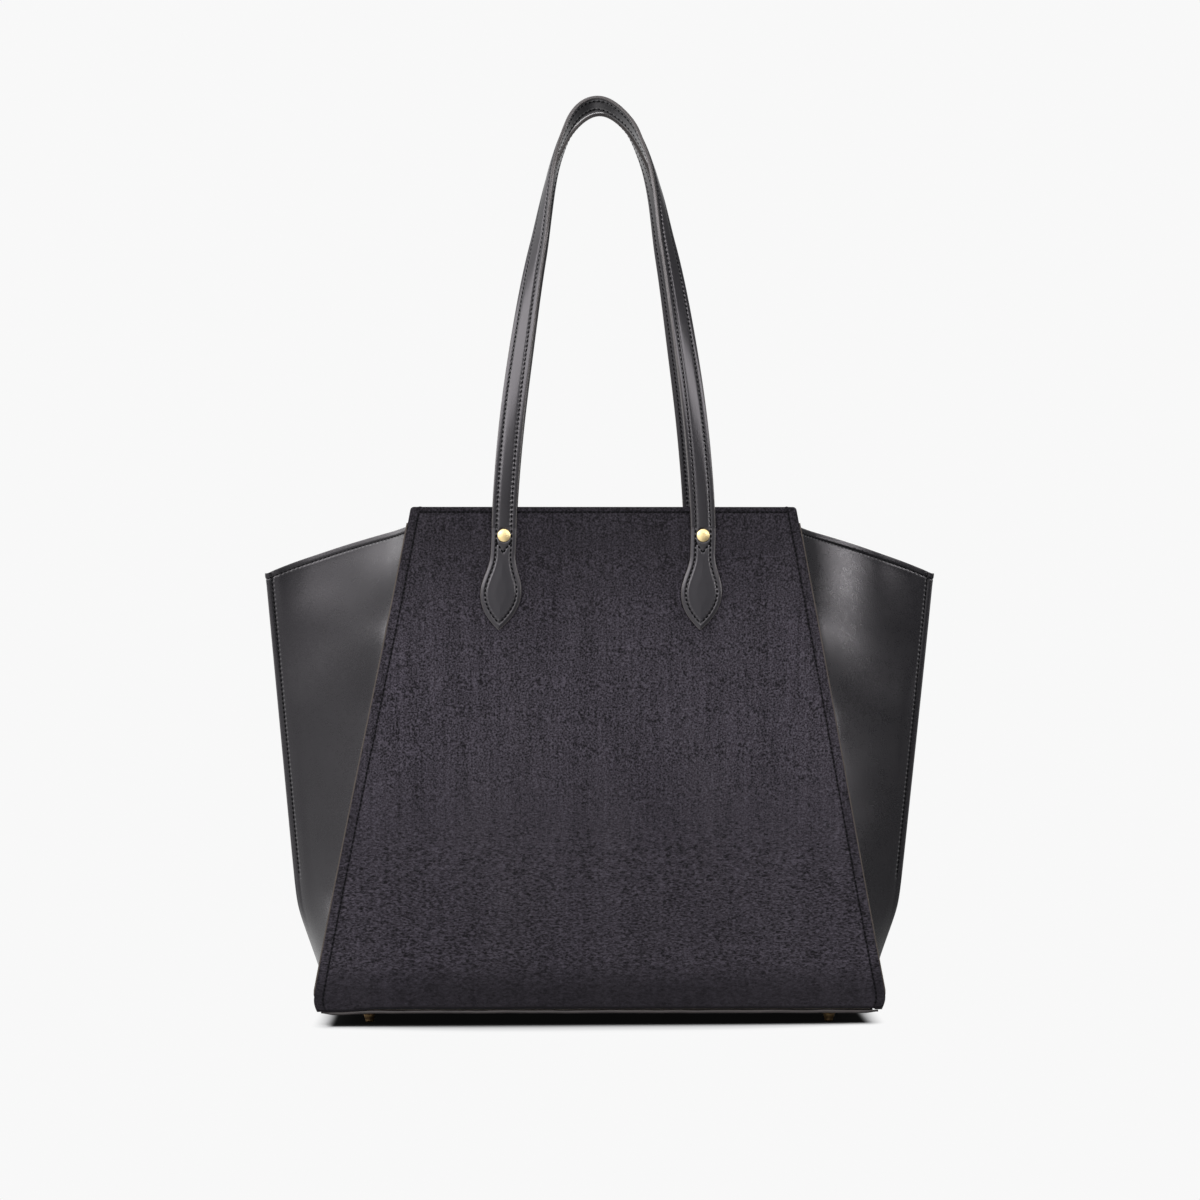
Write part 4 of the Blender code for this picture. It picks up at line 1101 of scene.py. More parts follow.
# %% Cloth linings
def panel_lining(side, toward):
    across, up = lay_out(
        0, FACING_BOTTOM - GAP, layer_half_width, (LAYER_RADIUS, LAYER_RADIUS),
        PLAIN_MARGIN, PLAIN_MARGIN, PLAIN_MARGIN, 6 * MM)
    flat = stand_up(across, up, -FACING_DEPTH + 0 * across, toward)
    inside = smooth(layer_half_width(up) - np.abs(across), 0, 30 * MM) * smooth(up, 0, 40 * MM)
    behind_pocket = 1 - 0.8 * (smooth(up, 110 * MM, 130 * MM) if side == "back" else 0)
    pucker = (0.7 + ripple(flat, 60 * MM, 41 + toward)) * 0.5 * inside * behind_pocket
    points = stand_up(across, up, -FACING_DEPTH - pucker * MM, toward)
    add_layer(
        side + "_cloth_lining", points, LINING_THICKNESS, "lining_fabric", LINING,
        side + "_lining", rounding=0)


for side, toward in SIDES:
    panel_lining(side, toward)

# %% Slip pocket
POCKET_DEPTH = FACING_DEPTH + LINING_THICKNESS + GAP
POCKET_TOP = FACING_BOTTOM - 34 * MM
POCKET_HEIGHT = 130 * MM
POCKET_HALF_WIDTH = 95 * MM
POCKET_SEAM = 1.8
POCKET_MARGIN = (0, 0.6, 1.4, POCKET_SEAM, 2.2, 3, 5, 8, 11, 14)
POCKET_GAPE = 4.0                   # millimetres that its mouth stands open


def slip_pocket():
    across, up = lay_out(
        POCKET_TOP - POCKET_HEIGHT, POCKET_TOP, lambda up: POCKET_HALF_WIDTH + 0 * up,
        (14 * MM, LAYER_RADIUS), POCKET_MARGIN, POCKET_MARGIN, (0, 0.6, 2, 4, 6, 9), 4 * MM)
    from_side = POCKET_HALF_WIDTH - np.abs(across)
    gape = smooth(up, POCKET_TOP - 90 * MM, POCKET_TOP) * smooth(from_side, 2 * MM, 70 * MM)
    hem = smooth(up, POCKET_TOP - 13 * MM, POCKET_TOP - 12 * MM) * 0.25
    points = stand_up(across, up, -POCKET_DEPTH - (gape * POCKET_GAPE + hem) * MM, 1)
    add_layer(
        "slip_pocket", points, LINING_THICKNESS, "lining_fabric", LINING, "inner_slip_pocket",
        rounding=0)
    normals = -surface_normals(points)
    inner = points + normals * LINING_THICKNESS
    column = POCKET_MARGIN.index(POCKET_SEAM)
    sides = slice(8, -2)
    lines = ((sides, column), (sides, -1 - column), (column, slice(column, -column)))
    sew("pocket_stitches", [(inner[line], normals[line]) for line in lines], "bag", "lining_fabric")


slip_pocket()

# %% [markdown]
# ## The base and its welts
#
# The base is a leather rectangle over a board. It sags a little between the feet. Along the
# front and the back the edges of base and panel meet in a thin painted welt, which shows as
# a lighter, slightly wavy line under the suede; that pale tone is edge paint and in part a
# painted reflection of the welt's round top. It droops with the sagging corner, and gets
# thinner and turns in at its ends.

# %% Base and base lining
BASE_HALF_WIDTH = 181 * MM
BASE_HALF_DEPTH = BASE_DEPTH / 2 - 1.5 * MM
FOOT_HEIGHT = 8.2 * MM
BASE_THICKNESS = 1.6 * MM
LEVEL_MARGIN = (0, 0.4, 1, 2, 3.5, 5.5, 8)


def level_sheet(half_width, half_depth, radius, z, sag, seed):
    """A level rectangle with rounded corners that sags a little."""
    across, along = lay_out(
        -half_depth, half_depth, lambda up: half_width + 0 * up, (radius, radius),
        PLAIN_MARGIN, LEVEL_MARGIN, LEVEL_MARGIN, 6 * MM)
    flat = np.stack([across, along, np.full_like(across, z)], axis=-1)
    open_field = smooth(half_width - np.abs(across), 0, 50 * MM)
    open_field = open_field * smooth(half_depth - np.abs(along), 0, 45 * MM)
    flat[..., 2] -= sag * open_field * (1 + 0.4 * ripple(flat, 70 * MM, seed))
    return flat


add_layer(
    "leather_base",
    level_sheet(
        BASE_HALF_WIDTH, BASE_HALF_DEPTH, 8 * MM, FOOT_HEIGHT + BASE_THICKNESS, 0.8 * MM, 51),
    BASE_THICKNESS, "smooth_leather", LEATHER, "base_panel")
add_layer(
    "base_cloth_lining",
    level_sheet(177 * MM, BASE_HALF_DEPTH - 3.5 * MM, LAYER_RADIUS, 14.1 * MM, -0.5 * MM, 57),
    LINING_THICKNESS, "lining_fabric", LINING, "base_lining", rounding=0)


# %% Welts
WELT_REACH = 184.0 * MM
WELT_RADIUS = 1.08 * MM
WELT_HEIGHT = 8.9 * MM
WELT_OUT = 74.5 * MM                # from the middle of the bag's depth
WELT_DROOP = 0.8 * MM


def sweep(name, centres, sides, outs, loops, seam=None):
    """Carry a closed outline of (across, out) pairs along a line; loops holds one per station."""
    points = centres[:, None] + sides[:, None] * loops[..., :1] + outs[:, None] * loops[..., 1:]
    points = np.concatenate([points, points[:, :1]], axis=1)
    if seam is not None:
        seam = np.concatenate([seam, seam[:, :1]], axis=1)
    return lay_sheet(name, points, seam, closed=True)


def welt(side, toward):
    x = np.concatenate([
        np.linspace(-WELT_REACH, 8 * MM - WELT_REACH, 12),
        np.linspace(10 * MM - WELT_REACH, WELT_REACH - 10 * MM, 180),
        np.linspace(WELT_REACH - 8 * MM, WELT_REACH, 12)])
    near_end = 1 - smooth(WELT_REACH - np.abs(x), 0, 9 * MM)
    droop = smooth(toward * x, *SAG_RUN) * (1 - 0.15 * near_end)
    wobble = np.array([noise.noise(Vector((place * 1000 / 17, toward * 3.0, 0.5))) for place in x])
    y = toward * (WELT_OUT - 1.4 * MM * near_end)
    z = WELT_HEIGHT + wobble * 0.25 * MM - droop * WELT_DROOP + near_end * 0.5 * MM
    size = WELT_RADIUS * (0.97 + 0.08 * wobble) * (1 - 0.35 * near_end)
    turns = np.linspace(0, 2 * math.pi, 15)[:-1]
    outline = np.stack([np.cos(turns), np.sin(turns)], axis=1)
    piece = sweep(
        side + "_welt", np.stack([x, y, z], axis=1), np.array([[0, 1, 0]]),
        np.array([[0, 0, 1]]), size[:, None, None] * outline[None])
    dress(piece, "bag", "smooth_leather", WELT_PAINT_SHINE, side + "_piping", angle=80)


for side, toward in SIDES:
    welt(side, toward)

# %% [markdown]
# ## Turned brass
#
# Feet, rivets and snap are round, so each is drawn as half an outline, point by point, and
# spun about its axis. The outline is finer than the CAD part's: rims are softened, the dome
# is truly round and each foot has a small groove under its flange. All outlines are lists of
# (radius, height) pairs in millimetres.

# %% Spin a profile
TURN_STEPS = 40


def turn_piece(name, profile, matrix):
    """Draw an outline, spin it about Z and set the piece in place."""
    bpy.ops.object.select_all(action="DESELECT")
    bpy.ops.mesh.primitive_plane_add(size=MM)
    piece = bpy.context.object
    piece.name = piece.data.name = name
    edit(piece)
    bpy.ops.mesh.merge(type="CENTER")
    last = Vector((0, 0))
    for index, pair in enumerate(profile):
        step = Vector(pair) * MM - last
        move = {"value": (step.x, 0, step.y)}
        if index == 0:
            bpy.ops.transform.translate(**move)
        else:
            bpy.ops.mesh.extrude_vertices_move(TRANSFORM_OT_translate=move)
        last = Vector(pair) * MM
    bpy.ops.mesh.select_all(action="SELECT")
    bpy.ops.mesh.spin(steps=TURN_STEPS, angle=2 * math.pi, center=(0, 0, 0), axis=(0, 0, 1))
    bpy.ops.mesh.select_all(action="SELECT")
    bpy.ops.mesh.remove_doubles(threshold=0.001 * MM)
    bpy.ops.mesh.normals_make_consistent(inside=False)
    bpy.ops.object.mode_set(mode="OBJECT")
    place = np.array(matrix.translation)
    piece.data.transform(Matrix.Translation(settle(place) - place) @ matrix)
    return piece


def on_panel(toward, x, up, out=0.0, inward=False):
    """The turn and place of a piece that faces out of a panel, or into the bag."""
    heading = 0 if toward < 0 else math.pi
    frame_turn = Matrix.Rotation(heading, 4, "Z") @ Matrix.Rotation(-PANEL_TILT, 4, "X")
    frame_place = Matrix.Translation((0, toward * BASE_DEPTH / 2, PANEL_BOTTOM))
    face = Matrix.Rotation(-math.pi / 2 if inward else math.pi / 2, 4, "X")
    return frame_place @ frame_turn @ Matrix.Translation((x, -out, up)) @ face


def arc(centre_radius, centre_height, radius, start, stop, steps=6):
    """Points of a rounded corner, in degrees from straight out to straight up."""
    return [(centre_radius + radius * math.cos(math.radians(angle)),
             centre_height + radius * math.sin(math.radians(angle)))
            for angle in np.linspace(start, stop, steps + 1)]


# %% Feet
FOOT_X = BASE_HALF_WIDTH - 28 * MM
FOOT_Y = BASE_DEPTH / 2 - 25 * MM
foot_profile = (
    [(0, 13.2), (1.3, 13.2), (1.6, 12.9), (1.6, 7.9), (3.7, 7.9), (3.8, 6.6), (4.1, 6.35)]
    + arc(4.4, 5.75, 0.5, 70, -70, 5)
    + [(4.0, 5.1), (3.8, 5.0), (3.8, 4.85), (3.8, 4.8), (3.5, 3.6), (3.2, 2.4)]
    + arc(1.75, 1.25, 1.25, 15, -90, 6) + [(0, 0)])
for side, toward, hand, sign in CORNERS:
    place = Matrix.Translation((sign * FOOT_X, toward * FOOT_Y, 0))
    piece = turn_piece(f"{side}_{hand}_turned_foot", foot_profile, place)
    dress(piece, "bag", "aged_brass", AGED_BRASS, f"{side}_{hand}_foot", angle=50)

# %% Rivets
HANDLE_SPACING = 132 * MM           # the worn straps sit a millimetre further out than new
TAB_TOP = PANEL_HEIGHT - 13.8 * MM
RIVET_DROP = 5.3 * MM
RIVET_OUT = 2.8 * MM
FITTING_DEPTH = 4.7 * MM
cap_profile = (
    [(0, 1.6), (0.6, 1.585), (1.3, 1.53), (2.0, 1.42), (2.7, 1.24), (3.3, 1.0), (3.8, 0.72)]
    + arc(3.92, 0.28, 0.36, 50, -60, 6) + [(3.6, 0.0), (1.5, 0.0), (1.5, -6.2), (0, -6.2)])
seat_profile = [
    (0, -1.0), (1.8, -1.0), (1.8, 0), (3.8, 0), (4.0, -0.2), (4.0, -0.9), (3.6, -1.3),
    (2.6, -1.4), (0, -1.4)]
for side, toward, hand, sign in CORNERS:
    for name, node, profile, out in (
            ("rivet_cap", "rivet", cap_profile, RIVET_OUT),
            ("rivet_seat", "rivet_back", seat_profile, -FITTING_DEPTH)):
        place = on_panel(toward, sign * HANDLE_SPACING / 2, TAB_TOP - RIVET_DROP, out)
        piece = turn_piece(f"{side}_{hand}_{name}", profile, place)
        dress(piece, "bag", "gilt_brass", GILT, f"{side}_{hand}_{node}", angle=50)

# %% Magnetic snap
SNAP_DROP = 20 * MM
stud_profile = (
    [(0, 2.8), (2.2, 2.8), (2.8, 2.3), (2.8, 1.6), (3.4, 1.5)]
    + arc(8.3, 0.9, 0.7, 90, 0, 5) + [(9, 0), (0, 0)])
socket_profile = (
    [(0, 1.0), (3.4, 1.0), (3.4, 2.2), (3.9, 2.6)]
    + arc(8.2, 1.8, 0.8, 90, 0, 5) + [(9, 0), (0, 0)])
for toward, name, node, profile in (
        (-1, "snap_nub_half", "snap_stud", stud_profile),
        (1, "snap_cup_half", "snap_socket", socket_profile)):
    place = on_panel(toward, 0, PANEL_HEIGHT - SNAP_DROP, -FITTING_DEPTH, inward=True)
    dress(turn_piece(name, profile, place), "bag", "nickelled_steel", STEEL, node, angle=50)

# %% [markdown]
# ## The leaf tabs
#
# Each strap ends in a leaf of leather that is stitched all round, with a padded middle. The
# height of its surface depends on how far a point is from the cut edge: round at the edge,
# drawn down at the stitches and full inside. So the distance to the outline is measured for
# each point of a grid, and the rivet's seat and a stitched V below it are pressed in. One leaf
# is worked out, in millimetres, and laid at each of the four places. On the real bag they
# slant a little to one side, so each is skewed below its rivet.

# %% Outline of a tab
TAB_NECK, TAB_FLARE, TAB_POINT, TAB_WIDTH = 18.0, 25.0, 25.0, 27.1
TAB_LENGTH = TAB_NECK + TAB_FLARE + TAB_POINT
STRAP_WIDTH = 16.4
TAB_SEAM = 3.2                      # from the cut edge to the stitches
TAB_SLANTS = {"left": -0.052, "right": -0.027}  # sideways for each millimetre below the rivet
V_POINT = (0.0, 17.0)               # a stitched V: across and below the leaf's upper edge
V_ENDS = ((-4.9, 9.4), (4.9, 9.4))


def tab_half_width(drop):
    """Half the leaf's width, in millimetres, at a distance below its upper edge."""
    neck, full = STRAP_WIDTH / 2, TAB_WIDTH / 2
    flare = np.clip((drop - TAB_NECK) / TAB_FLARE, 0, 1)
    point = np.clip((drop - TAB_NECK - TAB_FLARE) / TAB_POINT, 0, 1)
    wide = neck + (full - neck) * (1 - np.cos(math.pi * flare)) / 2
    return np.where(point > 0, full * (1 - point ** 2.1), wide)


outline_drop = np.concatenate([np.linspace(-6, 60, 240), np.linspace(60, TAB_LENGTH, 60)[1:]])
outline_half = tab_half_width(outline_drop)
outline_length = lengths_along(np.stack([outline_drop, outline_half], axis=1))


def from_outline(across, drop):
    """Distance to the cut edge and the length along it, for points of the leaf."""
    gap = np.hypot(
        np.abs(across)[..., None] - outline_half, drop[..., None] - outline_drop)
    nearest = gap.argmin(axis=-1)
    return gap.min(axis=-1), outline_length[nearest]


def from_line(across, drop, start, stop):
    """Distance from a straight line between two points."""
    run = np.array(stop) - np.array(start)
    share = np.clip(((across - start[0]) * run[0] + (drop - start[1]) * run[1]) / (run @ run), 0, 1)
    return np.hypot(across - start[0] - share * run[0], drop - start[1] - share * run[1])


def tab_surface(across, drop):
    """How far out the leaf's surface stands, in millimetres from the suede."""
    edge, length = from_outline(across, drop)
    rounding = 1.25 * np.clip(1 - edge / 2.7, 0, 1) ** 1.8
    full = smooth(edge, TAB_SEAM + 0.1, TAB_SEAM + 1.9)
    raised = 0.72 - 0.1 * smooth(drop, 40, 60)
    v_line = np.minimum(*(from_line(across, drop, end, V_POINT) for end in V_ENDS))
    out = 2.75 - rounding + full * raised
    out += smooth(edge, TAB_SEAM + 2, TAB_SEAM + 8) * 0.25 * smooth(drop, 18, 30)
    out -= 0.5 * ridge(edge - TAB_SEAM, 0.62) + 0.3 * ridge(v_line, 0.65)
    seat = np.hypot(across, drop - RIVET_DROP / MM)
    return np.minimum(out, 2.78 + 1.2 * smooth(seat, 4.4, 5.6)), edge, length


print("leaf tab:", TAB_LENGTH, "mm long")


# %% One leaf, as a grid and its lines of stitches
TAB_DROPS = np.concatenate([
    [0.0, 0.0], np.linspace(0, TAB_LENGTH - 2, 125)[1:],
    TAB_LENGTH - np.array([1.4, 0.9, 0.5, 0.2, 0.0])])
TAB_WALLS = np.array([0.3, 0.0, 0.0, 0.12, 0.35, 0.7, 1.1])  # columns in from the cut edge
WALL_HEIGHTS = ((0, 0.3), (1, 0.55), (2, 1.35))  # how high the first of them stand


def leaf_grid():
    """Across, below, out and the seam map of every point of a leaf, walls included."""
    half = tab_half_width(TAB_DROPS)
    half[-1] = 0.0
    shrink = np.clip(half / 5, 0, 1)[:, None]
    left = -(half[:, None] - TAB_WALLS[None, :] * shrink)
    middle = (half[:, None] - TAB_WALLS[-1] * shrink) * np.linspace(-1, 1, 66)[None, 1:-1]
    across = np.concatenate([left, middle, -left[:, ::-1]], axis=1)
    drop = np.broadcast_to(TAB_DROPS[:, None], across.shape)
    out, edge, length = tab_surface(across, drop)
    for column, height in WALL_HEIGHTS:
        for place in (column, -1 - column):
            out[:, place] = np.minimum(height, out[:, place])
    out[[0, -1]] = WALL_HEIGHTS[0][1]
    return (across, drop, out), np.stack([edge - TAB_SEAM, length], axis=-1)


def leaf_rows():
    """The lines of its stitches: one along each edge, and the two arms of the V."""
    drop = np.linspace(0.8, TAB_LENGTH, 400)
    half = tab_half_width(drop)
    slope = np.gradient(half, drop)
    steep = np.sqrt(1 + slope ** 2)
    inner, inner_drop = half - TAB_SEAM / steep, drop + TAB_SEAM * slope / steep
    order = np.argsort(inner_drop)
    order = order[inner[order] > 0.7]
    lines = [(sign * inner[order], inner_drop[order]) for sign in (-1, 1)]
    part = np.linspace(0, 1, 20)
    for end in V_ENDS:
        lines.append([start + (stop - start) * part for start, stop in zip(end, V_POINT)])
    return [(across, drop, tab_surface(across, drop)[0]) for across, drop in lines]


LEAF, LEAF_SEAM = leaf_grid()
LEAF_ROWS = leaf_rows()
print("points in a leaf:", LEAF[0].size)


# %% Lay the four leaves
def leaf_tab(side, toward, hand, sign):
    def lay(across, drop, out):
        slanted = across + np.maximum(drop - RIVET_DROP / MM, 0) * TAB_SLANTS[hand]
        return stand_up(
            sign * HANDLE_SPACING / 2 + slanted * MM, TAB_TOP - drop * MM, out * MM, toward)

    piece = lay_sheet(f"{side}_{hand}_leaf", lay(*LEAF)[::-1], LEAF_SEAM[::-1], closed=True)
    dress(piece, "bag", "smooth_leather", TAB_LEATHER, f"{side}_{hand}_leaf_tab", angle=60)
    outward = np.array([[0, toward * math.cos(PANEL_TILT), math.sin(PANEL_TILT)]])
    paths = [lay(*row) for row in LEAF_ROWS]
    rows = [(path, outward.repeat(len(path), axis=0)) for path in paths]
    sew(f"{side}_{hand}_leaf_stitches", rows, "bag", "smooth_leather", size=(1, 1.25, 1.15))


for corner in CORNERS:
    leaf_tab(*corner)

# %% [markdown]
# ## The strap handles
#
# A handle is a padded strip: a thick face with a raised middle between two rows of stitches,
# a thin filler and a plain backing. It rises flat against the panel, leans in and turns on
# its edge until both handles meet over the middle of the bag. Each section is one closed
# outline that is carried along this line. The two handles of a used bag never stand quite
# alike, so each has its own height, width and turn.

# %% The line of a handle
HINGE_UP = 328.902 * MM
HINGE_BACK = 66.83 * MM
STRAP_HALF_STACK = 1.65 * MM
HANDLE_STRAIGHT = 18 * MM
HANDLE_CLEARANCE = 0.5 * MM         # between the panel and the strap's backing
CROWN_GAP = 0.25 * MM               # from the middle of the bag to the strap on its edge
FOOT_RISE = 0.05 * MM               # from the fold to the lowest point of the strap
RISES = {"front": 287.9 * MM, "back": 283.6 * MM}
CROWNS = {"front": 0.15, "back": 0.13}  # how much wider than an even arch the top is
TILTS = {"front": 28, "back": 14}       # degrees that the top leans over, showing its underside
SHIFTS = {"front": -1.8 * MM, "back": 0}  # how far the crown stands aside
STATION_STEP = 1.25 * MM


def handle_centre(q, rise, crown, shift):
    """Middle of the strap in the handle's own frame, from one end (1) to the other (-1)."""
    start = HANDLE_CLEARANCE + STRAP_HALF_STACK
    top = HINGE_BACK - STRAP_WIDTH * MM / 2 - CROWN_GAP
    height = 1 - q * q
    fuller = 0.055 * ridge(height - 0.95, 0.11) - 0.010 * ridge(height - 0.46, 0.16)
    fuller += crown * (0.72 * smooth(height, 0.66, 0.90) + 0.28 * smooth(height, 0.90, 0.97))
    spread = np.sqrt(np.maximum(1 - height ** 1.4, 0)) * (1 + fuller)
    climb = FOOT_RISE + (rise - FOOT_RISE) * height
    free = np.maximum(climb - HANDLE_STRAIGHT, 0) / (rise - HANDLE_STRAIGHT)
    lean = PANEL_SLOPE * climb + (top - start - PANEL_SLOPE * rise) * free ** 1.8
    x = -np.sign(q) * HANDLE_SPACING / 2 * spread + shift * smooth(height, 0.93, 1)
    return np.stack([x, start + lean, climb], axis=-1), free


def handle_line(side, toward):
    """Stations an even step apart, each with its side and outward direction."""
    shape = RISES[side], CROWNS[side], SHIFTS[side]
    dense = np.linspace(1, -1, 6001)
    travelled = lengths_along(handle_centre(dense, *shape)[0])
    stops = np.linspace(0, travelled[-1], int(travelled[-1] / STATION_STEP) + 1)
    centres, free = handle_centre(np.interp(stops, travelled, dense), *shape)
    along = unit(np.gradient(centres, axis=0))
    inward = unit(np.array([0, 1, 0]) - along * along[:, 1:2])
    outward = np.cross(along, inward)
    on_edge = math.pi / 2 * (0.55 * free + 0.45 * free ** 2)
    twist = (on_edge + math.radians(TILTS[side]) * free ** 4)[:, None]
    normal = outward * np.sin(twist) - inward * np.cos(twist)
    across = np.cross(along, normal)
    turn = np.array([-toward, -toward, 1])
    centres = centres * turn + np.array([0, toward * HINGE_BACK, HINGE_UP])
    return centres, across * turn, normal * turn, stops / MM


print("handles rise", [round(rise / MM, 1) for rise in RISES.values()], "mm above their folds")


# %% Sections of the strap
STRAP_SEAM = 4.8                    # from the middle of the strap to its stitches
FACE_HALF = [
    (8.2, -0.46), (8.22, -0.1), (8.2, 0.3), (8.08, 0.55), (7.85, 0.71), (7.5, 0.81), (7.0, 0.86),
    (6.4, 0.88), (5.8, 0.87), (5.4, 0.82), (5.1, 0.74), (STRAP_SEAM, 0.68), (4.5, 0.76),
    (4.2, 0.98), (3.9, 1.2), (3.6, 1.4), (3.2, 1.52), (2.4, 1.60), (1.2, 1.64)]
FACE_UNDER = [(-5.2, -0.46), (-4.2, 0.15), (-3.6, 0.2), (3.6, 0.2), (4.2, 0.15), (5.2, -0.46)]
BACK_HALF = [
    (8.2, -0.52), (8.2, -1.0), (8.12, -1.35), (7.9, -1.55), (7.5, -1.63), (5.4, -1.65),
    (STRAP_SEAM, -1.5), (4.2, -1.65), (2.2, -1.65)]
CORE = np.array([(3.3, -0.3), (3.3, 0.1), (-3.3, 0.1), (-3.3, -0.3)])


def closed_outline(right, middle, under=()):
    """A whole section from its right half, run round from the right edge to the left one."""
    left = [(-across, out) for across, out in reversed(right)]
    return np.array([*right, middle, *left, *under])


FACE = closed_outline(FACE_HALF, (0.0, 1.65), FACE_UNDER)
BACKING = closed_outline(BACK_HALF, (0.0, -1.65))
FACE_SEAM, CORE_SEAM, BACK_SEAM = (
    STRAP_SEAM - np.abs(outline[:, 0]) for outline in (FACE, CORE, BACKING))
FACE_SEAM[(FACE[:, 1] < 0.25) & (FACE_SEAM > -3.2)] = NO_SEAM
CORE_SEAM[:] = NO_SEAM
SECTIONS = (
    ("strap", "strap_face", FACE, FACE_SEAM, "smooth_leather", STRAP_LEATHER),
    ("strap_core", "strap_filler", CORE, CORE_SEAM, "stiffener_board", BOARD),
    ("strap_back", "strap_backing", BACKING, BACK_SEAM, "smooth_leather", STRAP_LEATHER))
print("points round the strap's face:", len(FACE))


# %% Handles
BEND_RUN = 16 * MM                  # a length of strap above the fold; nothing here bends the strap
FACE_STITCH_OUT = 0.66 * MM
BACK_STITCH_OUT = 1.5 * MM


def handle(side, toward):
    centres, across, normal, length = handle_line(side, toward)
    body = side + "_handle"
    bend = ((0, toward * HINGE_BACK, HINGE_UP), (0, toward * HINGE_BACK, HINGE_UP + BEND_RUN))
    for name, node, outline, distance, slot, material in SECTIONS:
        loops = np.broadcast_to(outline * MM, (len(centres), *outline.shape))
        seam = np.stack(np.broadcast_arrays(distance[None, :], length[:, None]), axis=-1)
        piece = sweep(f"{side}_{name}", centres, across, normal, loops, seam)
        dress(piece, None, slot, material, f"{side}_{node}", angle=60)
        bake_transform(piece)
    rows = []
    for edge in (-STRAP_SEAM, STRAP_SEAM):
        line = centres + across * edge * MM
        rows.append((line + normal * FACE_STITCH_OUT, normal))
        rows.append((line - normal * BACK_STITCH_OUT, -normal))
    sew(f"{side}_strap_stitches", rows, body, "smooth_leather", blend_over=bend, size=(0.84, 1, 1))


for side, toward in SIDES:
    handle(side, toward)

# %% [markdown]
# ## The studio
#
# The photograph was taken with a long lens, level with the middle of the bag, in front of a
# pale background. The camera is set at the same distance and height, and the width that it
# spans at the front of the bag gives its lens.

# %% Camera
CAMERA_DISTANCE = 2700 * MM
CAMERA_PLACE = Vector((-47 * MM, -BASE_DEPTH / 2 - CAMERA_DISTANCE, 280.8 * MM))
PICTURE_WIDTH = 792 * MM            # what the picture spans at the front of the bag
SENSOR_WIDTH = 36
camera_data = bpy.data.cameras.new("camera")
camera_data.sensor_width = SENSOR_WIDTH
camera_data.lens = SENSOR_WIDTH * CAMERA_DISTANCE / PICTURE_WIDTH
camera = bpy.data.objects.new("camera", camera_data)
bpy.context.scene.collection.objects.link(camera)
aim = Vector((0, -BASE_DEPTH / 2, CAMERA_PLACE.z)) - CAMERA_PLACE
camera.location = CAMERA_PLACE
camera.rotation_euler = aim.to_track_quat("-Z", "Y").to_euler()
bpy.context.scene.camera = camera
bpy.context.scene.view_settings.view_transform = "Standard"
print(f"lens {camera_data.lens:.1f} mm")

# %% [markdown]
# ## The room
#
# Smooth leather shows the room that it stands in, so the world is three things in one. The
# camera sees plain pale paper. The leather's gloss finds a room that is pale behind the bag,
# bright to its left and dark in front and to its right. Everything else gets an even, weak
# light from all round, which keeps the shadows open.

# %% World
PALE = 0.94
EVEN_LIGHT = 0.30
FRONT_DARK, LEFT_BRIGHT = 0.20, 1.05


def studio_tone(finish, place):
    """How bright a gloss finds the room: pale behind the bag, dark in front and to the right."""
    level = finish.node("ShaderNodeVectorMath", {0: place, 1: (1, 1, 0)}, operation="MULTIPLY")
    heading = finish.node("ShaderNodeVectorMath", {0: level}, operation="NORMALIZE")
    right, away = (
        finish.node("ShaderNodeSeparateXYZ", {0: heading}, out=index) for index in (0, 1))
    rise = finish.node("ShaderNodeSeparateXYZ", {0: place}, out=2).step(-0.25, 0.12)
    left = right.step(0.25, -0.35) * (0.55 + rise * 0.53) * (1 - away.step(0.5, 0.85) * 0.4)
    front = FRONT_DARK + left * (LEFT_BRIGHT - FRONT_DARK)
    behind = away.step(0.80, 1.0)
    return front + (PALE - front) * behind


class Room(Finish):
    """The world's nodes, written in the same way as a material's."""

    def __init__(self, name):
        self.world = bpy.data.worlds.new(name)
        self.world.use_nodes = True
        self.tree = self.world.node_tree
        self.place = self.node("ShaderNodeTexCoord", out="Generated")


def rays(finish, *kinds):
    """For each kind of ray, 1 where the surface is met by it."""
    path = finish.tree.nodes.new("ShaderNodeLightPath")
    return [Channel(finish, path.outputs[f"Is {kind} Ray"]) for kind in kinds]


room = Room("studio")
camera_ray, through_ray, glossy_ray = rays(room, "Camera", "Transmission", "Glossy")
seen = camera_ray.math("MAXIMUM", through_ray)
even, reflected, pale = (
    room.node("ShaderNodeBackground", {"Color": (tone, tone, tone, 1), "Strength": strength})
    for tone, strength in ((1, EVEN_LIGHT), (1, studio_tone(room, room.place)), (PALE, 1.0)))
lighting = room.node("ShaderNodeMixShader", {0: glossy_ray, 1: even, 2: reflected})
backdrop = room.node("ShaderNodeMixShader", {0: seen, 1: lighting, 2: pale})
room.tree.links.new(backdrop.socket, room.tree.nodes["World Output"].inputs["Surface"])
bpy.context.scene.world = room.world
print("the world has", len(room.tree.nodes), "nodes")

# %% [markdown]
# ## The floor
#
# The floor is real paper under and close to the bag, so that it takes the contact shadow;
# under the base its colour is also painted nearly black as a painted shadow, with a faint
# painted glow left in it. A few centimetres out it fades into the pale tone that the camera
# sees all round, so that no horizon shows. The zone where it fades follows the bag's base:
# it is lens-shaped, and skewed a little, as the shadow in the photograph is.

